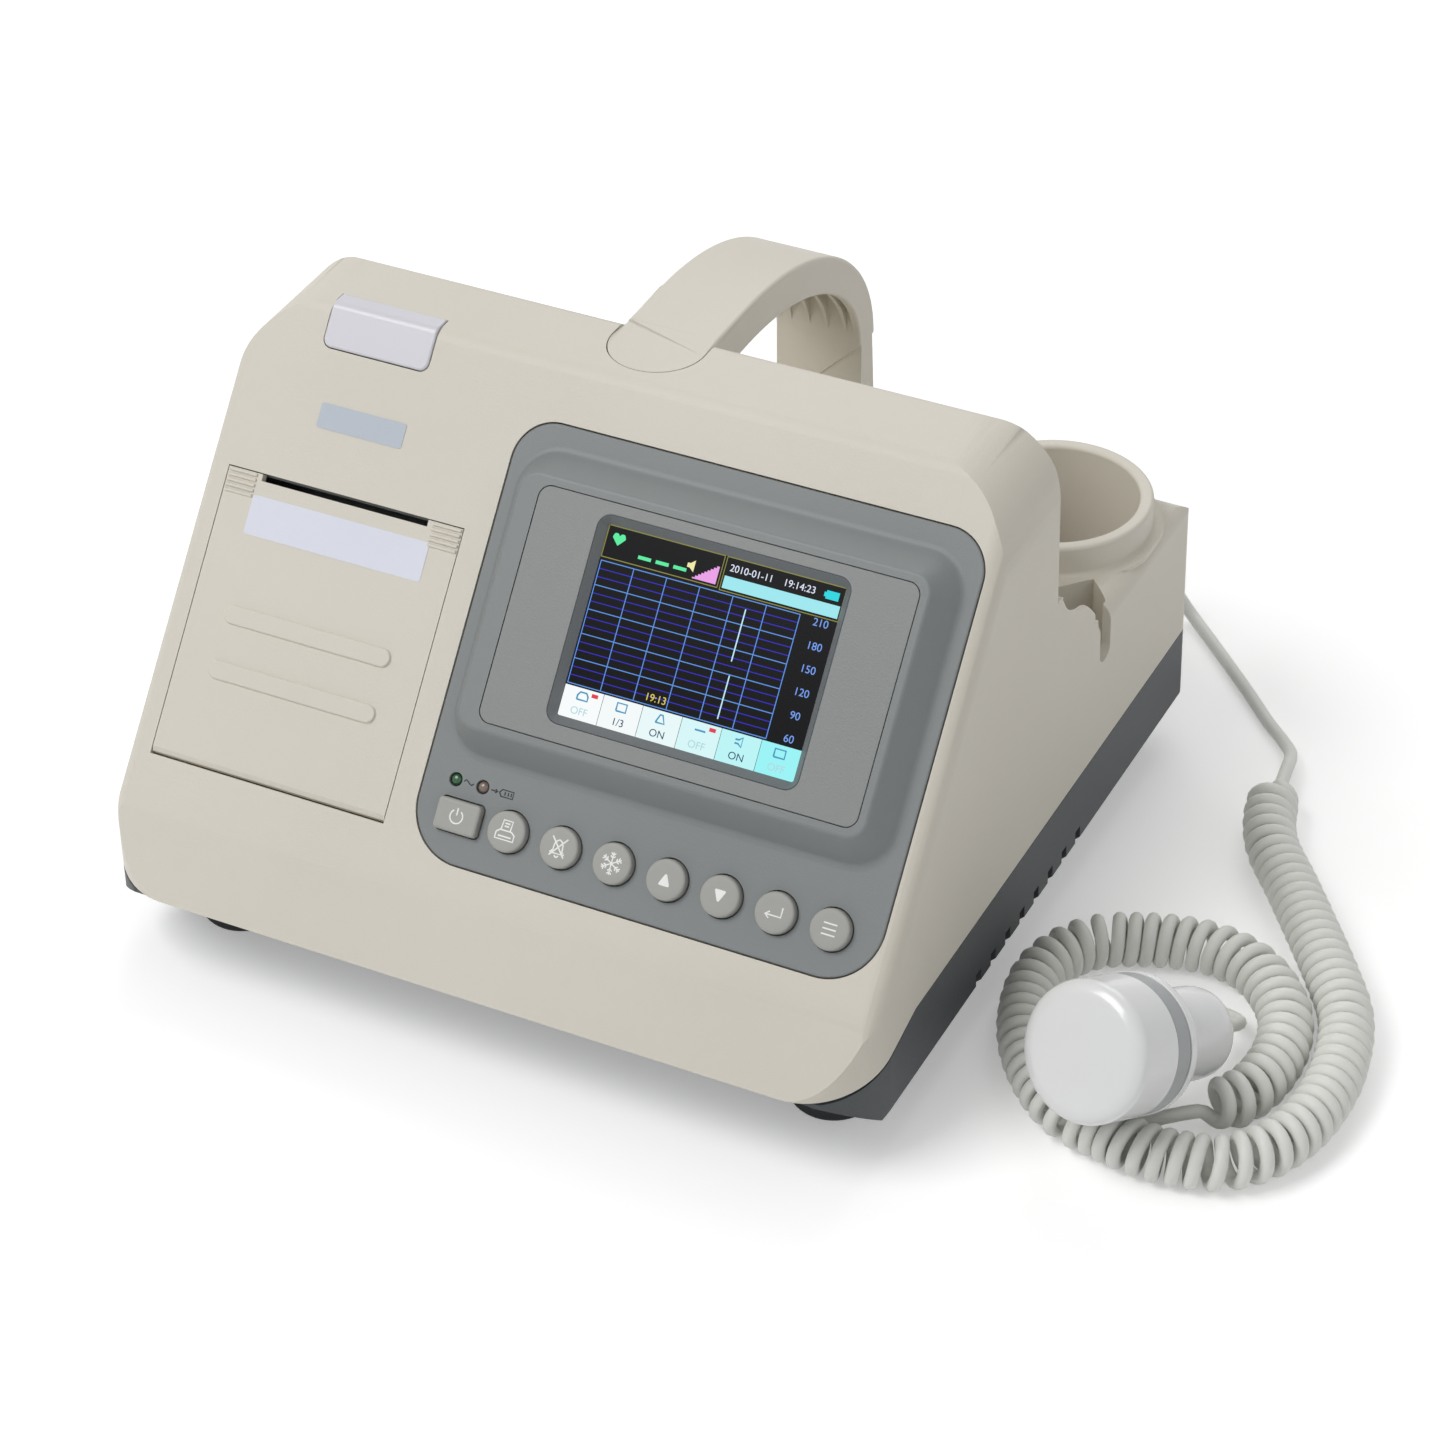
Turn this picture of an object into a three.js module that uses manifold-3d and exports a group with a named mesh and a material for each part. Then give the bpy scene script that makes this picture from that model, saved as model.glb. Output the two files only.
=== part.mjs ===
// Bench-top fetal heart monitor: a two-part moulded housing with a sloping panel, a strip printer,
// a carrying handle and a cup for the hand probe, which lies beside it on its curly cord.
// Lengths are millimetres. +Z is up, +X is to the right and -Y is towards the person using it.

import * as THREE from 'three';
import { mergeVertices } from 'three/addons/utils/BufferGeometryUtils.js';
import Module from 'manifold-3d';

const wasm = await Module();
wasm.setup();

// General
const wall = 2.5;
const fit = 0.3;
const overrun = 6;
const facetHeight = 0.35;
const smallSides = 6;
const cordSides = 8;
const roundSides = 14;
const largeSides = 20;

// Keys, which set the width of the front bezel
const keyCount = 7;
const keyPitch = 16.08;
const keyRadius = 5.7;
const keyStand = 2.4;
const keyCrown = 0.3;
const keyFlange = 1.3;
const keyFlangeHeight = 1.3;
const keyClearance = 0.4;
const keyEndMargin = 14.2;
const keyRowInset = 13;
const powerKeyWidth = 13;
const powerKeyLength = 9;
const powerKeyMargin = 13.65;
const powerToFirstKey = 15.25;

// Display, which sets the length of the front bezel
const screenWidth = 75;
const screenLength = 58;
const screenSink = 1.2;
const plateWidth = 116;
const plateTopMargin = 3.2;
const plateFootMargin = 4.8;
const plateCorner = 3.5;
const plateThickness = 1;
const plateShift = 2;
const plateauHeight = 8;
const plateauRun = 7.5;
const plateauBorder = 2.4;
const plateauFootCorner = 12;
const plateauTopCorner = 5;
const windowThickness = 1;
const displayDepth = 8.4;

// Front bezel
const bezelTopCorner = 12;
const bezelFootCorner = 16;
const bezelAbovePlateau = 7.1;
const keyRowLength = 30.1;
const ledgeWidth = 3;
const ledgeThickness = 2;
const lampRadius = 1.6;
const lampSpacing = 8.3;
const lampAboveKeys = 9.6;
const lampStand = 0.6;
const boardThickness = 1.6;
const switchHeight = 2.3;
const switchRadius = 3;
const bezelPostRadius = 2.2;
const keypadBelow = 5.4;

// Printer
const doorWidth = 74.6;
const doorLength = 83;
const doorFootMargin = 12.9;
const doorRound = 2;
const slotWidth = 52.9;
const slotGap = 1.9;
const gripWidth = 9.6;
const gripLength = 7.4;
const gripRibs = 5;
const gripRibHeight = 0.6;
const barLength = 48;
const barHalfWidth = 2.5;
const barHeight = 0.8;
const barFootMargin = 27.1;
const barSpacing = 15.9;
const doorPinRadius = 0.8;
const doorBoreRadius = 1.1;
const doorPinReach = 3;
const hingeBossLength = 5;
const hingeBossHeight = 6;
const paperWidth = 50;
const paperRadius = 19;
const paperCoreRadius = 5;
const paperBelowDoor = 26;
const rollerRadius = 4.5;
const rollerShaftRadius = 1.5;
const rollerBoreRadius = 1.8;
const rollerBelowDoor = 8;
const rollerFromTop = 6.6;
const rollerExtra = 4;
const earThickness = 2;
const earRadius = 3.6;
const headBlockLength = 9;
const headBlockHeight = 5.2;
const cradleWall = 1.6;
const cradleInset = 4;
const cradleFlange = 3;
const cradleDepth = 47.2;

// Panel, head, shelf and sides of the housing
const doorSideMargin = 7.7;
const betweenPanels = 8.25;
const bezelSideMargin = 4.25;
const bezelTopMargin = 16.4;
const bezelFootMargin = 7.4;
const panelSlope = THREE.MathUtils.degToRad(51.1);
const sideSpread = 1.3;
const headDepth = 27.25;
const shelfDepth = 102;
const shelfAboveSeam = 47;
const seamHeight = 39;
const lipHeight = 28.5;
const apronRun = 14.25;
const apronRise = 22.9;
const seamDipRun = 37.75;
const headCorner = 21;
const headEdge = 2.5;
const panelEdge = 2.5;
const panelTopEdge = 3;
const frontCorner = 18;
const rearCorner = 4;
const rearRound = 14;
const postRadius = 4.5;
const postBore = 1.7;
const postSideInset = 19.5;
const postFrontInset = 14.2;
const postRearInset = 57;
const lampWidth = 33.2;
const lampOnPanel = 12.1;
const lampOnTop = 5.2;
const lampSideMargin = 18;
const lampFlange = 1.2;

// Base tray
const baseHeight = 6;
const trayChamfer = 10;
const traySetback = 2.75;
const rampRun = 29.75;
const lipBand = 1.5;
const postFoot = 31;
const screwSeat = 6;
const tongueHeight = 3;
const tongueWall = 1.2;
const footRadius = 12.5;
const footHeight = 4;
const footBossRadius = 13;
const footStemRadius = 3;
const footSideInset = 24.5;
const footFrontInset = 37.75;
const footRearInset = 32.75;
const ventCount = 8;
const ventPitch = 10;
const ventWidth = 3.4;
const ventDepth = 7;
const ventStartInset = 77.75;
const ventRise = 3;
const ventHeight = 11;
const screwRadius = 1.4;
const screwHeadRadius = 3;
const screwHeadHeight = 2.2;
const screwLength = 14;
const legScrewLength = 20;
const batteryWidth = 76;
const batteryLength = 51;
const batteryHeight = 20;
const bayClearance = 2;
const bayWall = 1.5;
const bayRight = 55;
const bayGap = 5.2;
const coverBorder = 4;
const coverThickness = 2;
const boardStand = 5.2;
const boardPostRadius = 3;
const mainBoardWidth = 105;
const mainBoardLength = 110;
const betweenBoards = 10;
const powerBoardLength = 100;
const boardSideInset = 27;
const boardPostInset = 5;
const boardRearInset = 7.75;
const speakerRadius = 20;
const speakerHeight = 11;
const speakerSideInset = 33;
const speakerFrontInset = 87.75;
const magnetShare = 0.5;
const grilleSlots = 5;
const grillePitch = 5;
const grilleWidth = 2;
const grilleLength = 26;
const inletWidth = 28;
const inletHeight = 20;
const inletBody = 22;
const inletFlange = 2;
const inletFlangeRim = 4;
const inletOffset = 60;
const inletAboveSeam = 6;
const inletChamfer = 5;
const inletWell = 14;
const inletPinWidth = 2;
const inletPinHeight = 4;
const inletPinPitch = 7;

// Probe cup
const cupRadius = 25.4;
const cupRim = 28.4;
const cupFlare = 31.2;
const cupRise = 9.5;
const cupDepth = 41;
const cupSideMargin = 1.9;
const cupRearMargin = 5.95;

// Cord pocket and slot in the right side
const pocketWidth = 17;
const pocketLength = 38;
const pocketFloorDrop = 26;
const sideWallThickness = 2.6;
const finHeight = 25.2;
const finLength = 27.2;
const slotStart = 28.7;
const slotMouth = 7.2;
const slotDrop = 17;
const pocketTipAngle = THREE.MathUtils.degToRad(-46.2);
const finShares = [[1, 0.05], [0.64, 0.444], [0.404, 0.548], [0.175, 0.72], [0, 1]];

// Carrying handle
const handleWidth = 27.7;
const handleThickness = 12;
const handleRearThickness = 10.3;
const handleStrap = 19.25;
const handleDrop = 54;
const handleEdge = 3;
const handleSkin = 2.5;
const handleRibs = 6;
const handleRibThickness = 1.4;
const tongueThickness = 2.5;
const tongueReach = 22.35;
const handleScrewSpacing = 14;
const handleScrewRise = 12;
const handleBossDepth = 9;
const handleBossRadius = 4.2;

// Hand probe, measured along its axis from the front face
const probeRadius = 19.4;
const probeRim = 4;
const probeCapLength = 18;
const probeBandLength = 6;
const probeBandDepth = 0.6;
const probeHeadEnd = 26;
const probeNeckRadius = 12.2;
const probeNeckAt = 36;
const probeBarrelRadius = 12.9;
const probeBarrelAt = 47;
const probeLength = 58.5;
const probeEndRound = 3.5;
const probeSkin = 2;
const probeBore = 3.2;
const probeSpigot = 4;
const transducerRadius = 14;
const transducerThickness = 3;
const reliefRadius = 4;
const reliefWaist = 3;
const reliefLength = 14;
const reliefRibs = 4;
const reliefPlug = 5;

// Cord
const cordDiameter = 3.7;
const curlGap = 0.56;
const curlRadius = 5.9;
const curlSteps = 8;
const curlSides = 5;
const curlLeadIn = 9;
const curlStartShare = 0.15;
const glandReach = 14;
const glandFlange = 1.6;
const glandFlangeRadius = 7;
const glandRadius = 4.6;
const glandRibs = 3;
const glandShank = 4;

// Places of the cord and probe, from the centre of the housing's footprint on the floor
const glandPlace = [84, 48];
const probeFace = new THREE.Vector3(166, -82.6, 43.1);
const probeTail = new THREE.Vector3(181, -32.4, 17.1);
const leadRoute = [
  [85, 145, 44], [89, 158, 28], [94, 166, 12], [100, 166.5, 3.6], [109.8, 158.1, 2.1],
  [120.7, 147.2, 2.1], [131.3, 136.4, 2.1], [142.1, 124.9, 2.1], [149, 118.3, 2.3],
  [154.4, 110.4, 4.3],
];
const coilRoute = [
  [157.9, 94.8], [160.6, 76.5], [166.4, 62.8], [177.5, 48.4], [189.4, 32.7], [202, 15.5], [211.9, 0],
  [216.8, -16.7], [218.2, -33], [216.1, -49], [210.4, -61.5], [202.3, -69.2], [192.2, -72.6],
  [181.5, -73.5], [170.5, -71.8], [158, -68.9], [146.3, -60], [134.8, -44], [128.6, -22], [130.8, -8.6],
  [137.7, 1.3], [147.5, 6.9], [157.8, 10.6], [168.9, 12], [180.4, 9.4], [189.6, 2.6], [196.9, -7.2],
  [200.4, -18.8], [200.6, -31], [198.2, -41.2], [192.6, -49.9], [185.8, -55.6],
];
const coilHeight = 7.85;
const tailRoute = [
  [185.6, -12.4, 6.2], [182.6, -8.4, 3.4], [178, -6.4, 2.1], [172.6, -7.2, 2.05], [167.8, -12.4, 2.05],
  [165, -22, 2.05], [163.6, -38, 2.05], [164, -51, 2.05], [168, -59.6, 2.2], [174.6, -61.4, 4.2],
];

// Sizes that follow
const bezelWidth = powerKeyMargin + powerToFirstKey + (keyCount - 1) * keyPitch + keyEndMargin;
const plateLength = plateTopMargin + screenLength + plateFootMargin;
const plateauLength = plateLength + 2 * (plateauBorder + plateauRun);
const bezelLength = bezelAbovePlateau + plateauLength + keyRowLength;
const topWidth = doorSideMargin + doorWidth + betweenPanels + bezelWidth + bezelSideMargin;
const topHalf = topWidth / 2;
const half = topHalf + sideSpread;
const panelLength = bezelTopMargin + bezelLength + bezelFootMargin;
const panelRun = panelLength * Math.cos(panelSlope);
const breakHeight = lipHeight + apronRise;
const topHeight = breakHeight + panelLength * Math.sin(panelSlope);
const shelfHeight = seamHeight + shelfAboveSeam;
const depth = apronRun + panelRun + headDepth + shelfDepth;
const frontY = -depth / 2;
const rearY = depth / 2;
const headRearY = rearY - shelfDepth;
const panelTopY = headRearY - headDepth;
const seamBendY = frontY + seamDipRun;
const doorLeft = -topHalf + doorSideMargin;
const doorRight = doorLeft + doorWidth;
const doorMiddle = (doorLeft + doorRight) / 2;
const doorFoot = panelLength - doorFootMargin;
const doorTop = doorFoot - doorLength;
const hingeAt = doorFoot - doorRound;
const bezelLeft = doorRight + betweenPanels;
const bezelRight = bezelLeft + bezelWidth;
const bezelTop = bezelTopMargin;
const bezelFoot = bezelTop + bezelLength;
const keyRow = bezelFoot - keyRowInset;
const powerKeyAt = bezelLeft + powerKeyMargin;
const firstKeyAt = powerKeyAt + powerToFirstKey;
const lampRow = keyRow - lampAboveKeys;
const plateMiddle = (bezelLeft + bezelRight) / 2 - plateShift / 2;
const plateTop = bezelTop + bezelAbovePlateau + plateauRun + plateauBorder;
const screenMiddle = plateMiddle + plateShift;
const screenTop = plateTop + plateTopMargin;
const keypadTop = -wall - keypadBelow;
const floorTop = baseHeight + wall;

// Shapes and solids

function weld(geometry) {
  if (geometry.userData.welded) return geometry;
  const bare = geometry.clone();
  bare.deleteAttribute('normal');
  bare.deleteAttribute('uv');
  const merged = mergeVertices(bare);
  const corners = Array.from(merged.index.array);
  const kept = [];
  for (let at = 0; at < corners.length; at += 3) {
    const [a, b, c] = corners.slice(at, at + 3);
    if (a !== b && b !== c && c !== a) kept.push(a, b, c);
  }
  merged.setIndex(kept);
  merged.userData.welded = true;
  return merged;
}

function solid(geometry) {
  const welded = weld(geometry);
  const vertProperties = new Float32Array(welded.attributes.position.array);
  const triVerts = new Uint32Array(welded.index.array);
  return new wasm.Manifold(new wasm.Mesh({ numProp: 3, vertProperties, triVerts }));
}

function combine(kind, geometries) {
  const [first, ...others] = geometries.flat().map(solid);
  const mesh = others.reduce((body, other) => body[kind](other), first).getMesh();
  const geometry = new THREE.BufferGeometry();
  geometry.setAttribute('position', new THREE.BufferAttribute(mesh.vertProperties, 3));
  geometry.setIndex(new THREE.BufferAttribute(mesh.triVerts, 1));
  geometry.userData.welded = true;
  return geometry;
}

const join = (...geometries) => combine('add', geometries);
const cut = (...geometries) => combine('subtract', geometries);
const meet = (...geometries) => combine('intersect', geometries);

function arcSteps(radius, sweep) {
  if (radius <= facetHeight) return 1;
  const step = 2 * Math.acos(1 - facetHeight / radius);
  return Math.max(1, Math.ceil(Math.abs(sweep) / step));
}

// An outline's corners are [x, y, radius], anticlockwise; a corner with a radius becomes an arc.
function corners(points, steps) {
  const path = [];
  points.forEach(([x, y, radius = 0], index) => {
    const here = new THREE.Vector2(x, y);
    if (radius <= 0) {
      path.push(here);
      return;
    }
    const before = points.at(index - 1);
    const after = points[(index + 1) % points.length];
    const back = new THREE.Vector2(before[0] - x, before[1] - y).normalize();
    const ahead = new THREE.Vector2(after[0] - x, after[1] - y).normalize();
    const halfAngle = back.angleTo(ahead) / 2;
    const bisector = back.clone().add(ahead).normalize();
    const centre = here.clone().addScaledVector(bisector, radius / Math.sin(halfAngle));
    const start = here.clone().addScaledVector(back, radius / Math.tan(halfAngle)).sub(centre);
    const sweep = (Math.PI - 2 * halfAngle) * Math.sign(ahead.cross(back));
    const count = steps ?? arcSteps(radius, sweep);
    for (let step = 0; step <= count; step += 1) {
      const turned = start.clone().rotateAround(new THREE.Vector2(), (sweep * step) / count);
      path.push(turned.add(centre));
    }
  });
  return path;
}

function inset(points, distance) {
  return points.map(([x, y, radius = 0], index) => {
    const before = points.at(index - 1);
    const after = points[(index + 1) % points.length];
    const arriving = new THREE.Vector2(x - before[0], y - before[1]).normalize();
    const leaving = new THREE.Vector2(after[0] - x, after[1] - y).normalize();
    const inward = new THREE.Vector2(-arriving.y - leaving.y, arriving.x + leaving.x);
    inward.multiplyScalar(distance / (1 + arriving.dot(leaving)));
    const change = Math.sign(arriving.cross(leaving)) * distance;
    return [x + inward.x, y + inward.y, radius ? Math.max(radius - change, 0) : 0];
  });
}

const axes = {
  x: new THREE.Matrix4().makeBasis(
    new THREE.Vector3(0, 1, 0), new THREE.Vector3(0, 0, 1), new THREE.Vector3(1, 0, 0)),
  y: new THREE.Matrix4().makeBasis(
    new THREE.Vector3(0, 0, 1), new THREE.Vector3(1, 0, 0), new THREE.Vector3(0, 1, 0)),
  z: new THREE.Matrix4(),
};

// Along x an outline is given as [y, z], along y as [z, x] and along z as [x, y].
function prism(axis, points, low, high) {
  const shape = new THREE.Shape(corners(points));
  const geometry = new THREE.ExtrudeGeometry(shape, { depth: high - low, bevelEnabled: false });
  geometry.translate(0, 0, low);
  return geometry.applyMatrix4(axes[axis]);
}

function block(x0, x1, y0, y1, z0, z1) {
  const geometry = new THREE.BoxGeometry(x1 - x0, y1 - y0, z1 - z0);
  return geometry.translate((x0 + x1) / 2, (y0 + y1) / 2, (z0 + z1) / 2);
}

// On the panel a place is x and the distance down from its top edge; heights stand out of it.
function panelBlock(x0, x1, top, foot, low, high) {
  return block(x0, x1, -foot, -top, low, high);
}

function rectangle(x0, x1, y0, y1, corner = 0, upperCorner = corner) {
  return [[x0, y0, corner], [x1, y0, corner], [x1, y1, upperCorner], [x0, y1, upperCorner]];
}

// A ring of one outline joined to a ring of another, with both ends closed.
function loft(lowPoints, low, highPoints, high, steps) {
  const lower = corners(lowPoints, steps);
  const upper = corners(highPoints, steps);
  const count = lower.length;
  const positions = [
    ...lower.flatMap((point) => [point.x, point.y, low]),
    ...upper.flatMap((point) => [point.x, point.y, high]),
  ];
  const index = [];
  for (let at = 0; at < count; at += 1) {
    const next = (at + 1) % count;
    index.push(at, next, count + at, next, count + next, count + at);
  }
  THREE.ShapeUtils.triangulateShape(lower, []).forEach(([a, b, c]) => index.push(a, c, b));
  THREE.ShapeUtils.triangulateShape(upper, []).forEach(([a, b, c]) => {
    index.push(count + a, count + b, count + c);
  });
  const geometry = new THREE.BufferGeometry();
  geometry.setAttribute('position', new THREE.Float32BufferAttribute(positions, 3));
  geometry.setIndex(index);
  geometry.userData.welded = true;
  return geometry;
}

// A profile of [radius, height] from the axis at the bottom to the axis at the top, turned about z.
function turned(profile, sides = roundSides) {
  const points = profile.map(([radius, height]) => new THREE.Vector2(radius, height));
  return new THREE.LatheGeometry(points, sides).rotateX(Math.PI / 2);
}

function rod(radius, low, high, sides = roundSides) {
  return turned([[0, low], [radius, low], [radius, high], [0, high]], sides);
}

const alongX = (geometry) => geometry.rotateY(Math.PI / 2);
const alongY = (geometry) => geometry.rotateX(-Math.PI / 2);

// Groups and materials

const finishes = {
  ivory: { color: 0xdedacd, roughness: 0.55, metalness: 0 },
  grey: { color: 0x6b7072, roughness: 0.5, metalness: 0 },
  darkGrey: { color: 0x474c50, roughness: 0.5, metalness: 0 },
  plate: { color: 0x777c7c, roughness: 0.45, metalness: 0 },
  key: { color: 0x9b9c97, roughness: 0.6, metalness: 0 },
  rubber: { color: 0x202224, roughness: 0.85, metalness: 0 },
  glass: { color: 0x9fd9de, roughness: 0.1, metalness: 0 },
  board: { color: 0x2f6b42, roughness: 0.6, metalness: 0 },
  steel: { color: 0xb8babc, roughness: 0.35, metalness: 1 },
  lamp: { color: 0xd8d4c4, roughness: 0.3, metalness: 0 },
  green: { color: 0x58b83c, roughness: 0.3, metalness: 0 },
  amber: { color: 0xe0a028, roughness: 0.3, metalness: 0 },
  white: { color: 0xe6e6e2, roughness: 0.2, metalness: 0 },
  band: { color: 0xc9ccc9, roughness: 0.4, metalness: 0 },
  cord: { color: 0xd9d7cf, roughness: 0.5, metalness: 0 },
  paper: { color: 0xf2f0ea, roughness: 0.9, metalness: 0 },
  cell: { color: 0x2b5fa5, roughness: 0.5, metalness: 0 },
};

const monitor = new THREE.Group();
const panel = new THREE.Group();
panel.position.set(0, panelTopY, topHeight);
panel.rotation.x = panelSlope;
panel.updateMatrix();
monitor.add(panel);

function piece(parent, name, geometry, finish) {
  const mesh = new THREE.Mesh(weld(geometry), new THREE.MeshStandardMaterial(finishes[finish]));
  mesh.name = name;
  parent.add(mesh);
  return mesh;
}

const onPanel = (geometry) => geometry.applyMatrix4(panel.matrix);

// Housing form: the side, front and plan outlines meet in one body

function shellSide(drop = 0) {
  const past = drop / apronRise;
  return [
    [frontY - apronRun * past, lipHeight - drop],
    [seamBendY, seamHeight - drop],
    [rearY, seamHeight - drop],
    [rearY, shelfHeight, rearRound],
    [headRearY, shelfHeight],
    [headRearY, topHeight, headEdge],
    [panelTopY, topHeight, panelTopEdge],
    [panelTopY - panelRun, breakHeight],
  ];
}

function traySide(rise = 0) {
  return [
    [frontY + rampRun, baseHeight],
    [rearY - trayChamfer, baseHeight],
    [rearY, baseHeight + trayChamfer],
    [rearY, seamHeight - fit + rise],
    [seamBendY, seamHeight - fit + rise],
    [frontY + traySetback, lipHeight - fit + rise],
    [frontY + traySetback, lipHeight - fit - lipBand],
  ];
}

const planOutline = [
  [-half, frontY, frontCorner], [half, frontY, frontCorner],
  [half, rearY, rearCorner], [-half, rearY, rearCorner],
];

const headFront = [
  [-half, -half], [topHeight, -half, headCorner], [topHeight, half, headCorner], [-half, half],
];

const trayFront = [
  [baseHeight, -half + trayChamfer], [baseHeight + trayChamfer, -half], [topHeight, -half],
  [topHeight, half], [baseHeight + trayChamfer, half], [baseHeight, half - trayChamfer],
];

const slopeEdges = [
  [-half, -depth], [half, -depth], [half, 0, panelEdge], [-half, 0, panelEdge],
];

// The sides lean in towards the top.
function lean(geometry) {
  const place = geometry.attributes.position;
  for (let at = 0; at < place.count; at += 1) {
    const share = (sideSpread / half) * (place.getZ(at) / topHeight);
    place.setX(at, place.getX(at) * (1 - share));
  }
  return geometry;
}

function shellForm(distance, drop) {
  const across = prism('x', inset(shellSide(drop), distance), -half, half);
  const front = prism('y', inset(headFront, distance), frontY - overrun, rearY + overrun);
  const plan = prism('z', inset(planOutline, distance), -depth, depth);
  const slope = prism('z', inset(slopeEdges, distance), -panelLength * 2, depth);
  slope.rotateX(Math.PI / 2);
  return lean(meet(across, front, plan, onPanel(slope)));
}

function trayForm(distance, rise) {
  const across = prism('x', inset(traySide(rise), distance), -half, half);
  const front = prism('y', inset(trayFront, distance), frontY - overrun, rearY + overrun);
  const plan = prism('z', inset(planOutline, distance), -depth, depth);
  return lean(meet(across, front, plan));
}

// Upper housing

const bezelOutline = rectangle(
  bezelLeft, bezelRight, -bezelFoot, -bezelTop, bezelFootCorner, bezelTopCorner);
const doorOutline = rectangle(doorLeft, doorRight, -doorFoot, -doorTop);
const cupX = topHalf - cupSideMargin - cupRim;
const cupY = rearY - cupRearMargin - cupRim;
const cupFloor = shelfHeight - cupDepth;
const pocketRight = half - sideWallThickness - sideSpread / 2;
const pocketLeft = pocketRight - pocketWidth;
const pocketRear = headRearY + pocketLength;
const pocketFloor = shelfHeight - pocketFloorDrop;
const pocketOutline = [
  [pocketLeft, headRearY], [pocketRight, headRearY], [pocketRight, pocketRear],
  [cupX + cupFlare * Math.cos(pocketTipAngle), cupY + cupFlare * Math.sin(pocketTipAngle)],
  [pocketLeft, pocketRear - cupRim / 7],
];
const posts = [
  [-half + postSideInset, frontY + postFrontInset],
  [half - postSideInset, frontY + postFrontInset],
  [-half + postSideInset, rearY - postRearInset],
  [half - postSideInset, headRearY + pocketLength / 2],
];
const handleHalf = handleWidth / 2;
const handleCentreY = headRearY + handleStrap;
const handleCentreZ = topHeight - handleDrop;
const handleReach = rearY - handleCentreY;
const legY = rearY - wall - fit - screwHeadRadius;
const legScrewSeat = shelfHeight - rearRound - overrun;
const tongueEnd = headRearY - tongueReach;
const tongueCentre = tongueEnd + handleHalf;
const tongueFloor = topHeight - tongueThickness - fit;
const glandY = rearY + glandReach;
const [glandX, glandZ] = glandPlace;
const inletFloor = seamHeight + inletAboveSeam;

function tongueOutline(distance) {
  const shape = rectangle(
    -handleHalf, handleHalf, tongueEnd, headRearY + overrun, handleHalf * 0.99, 0);
  return inset(shape, distance);
}

// The strip lens wraps over the edge between the panel and the top.
function lampSection(outer, inner, reach) {
  const slopeX = Math.cos(panelSlope);
  const slopeZ = Math.sin(panelSlope);
  const kneeShare = Math.tan(panelSlope / 2);
  const foot = lampOnPanel + reach;
  const knee = (below) => [panelTopY + below * kneeShare, topHeight - below];
  const onSlope = (below) => [
    panelTopY - foot * slopeX + below * slopeZ,
    topHeight - foot * slopeZ - below * slopeX,
  ];
  const onTop = (below) => [panelTopY + lampOnTop + reach, topHeight - below];
  return [onSlope(outer), onSlope(inner), knee(inner), onTop(inner), onTop(outer), knee(outer)];
}

function lampPrism(outer, inner, reach) {
  const low = doorLeft + lampSideMargin - reach;
  return prism('x', lampSection(outer, inner, reach), low, low + lampWidth + 2 * reach);
}

function cupBody() {
  return turned([
    [0, cupFloor - wall], [cupRadius + wall - rearCorner, cupFloor - wall],
    [cupRadius + wall, cupFloor - wall + rearCorner], [cupRadius + wall, shelfHeight - wall],
    [cupFlare, shelfHeight - wall], [cupFlare, shelfHeight],
    [(cupFlare + 3 * cupRim) / 4, shelfHeight + wall / 2], [cupRim, shelfHeight + wall * 1.5],
    [cupRim, shelfHeight + cupRise - wall / 3], [cupRim - wall / 3, shelfHeight + cupRise],
    [0, shelfHeight + cupRise],
  ], largeSides).translate(cupX, cupY, 0);
}

function pocketSlot() {
  const start = headRearY + slotStart;
  const low = shelfHeight - slotDrop;
  const outline = rectangle(start, start + slotMouth, low, topHeight);
  outline[0][2] = slotMouth * 0.49;
  outline[1][2] = slotMouth * 0.49;
  return prism('x', outline, pocketRight - wall, half + overrun);
}

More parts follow.
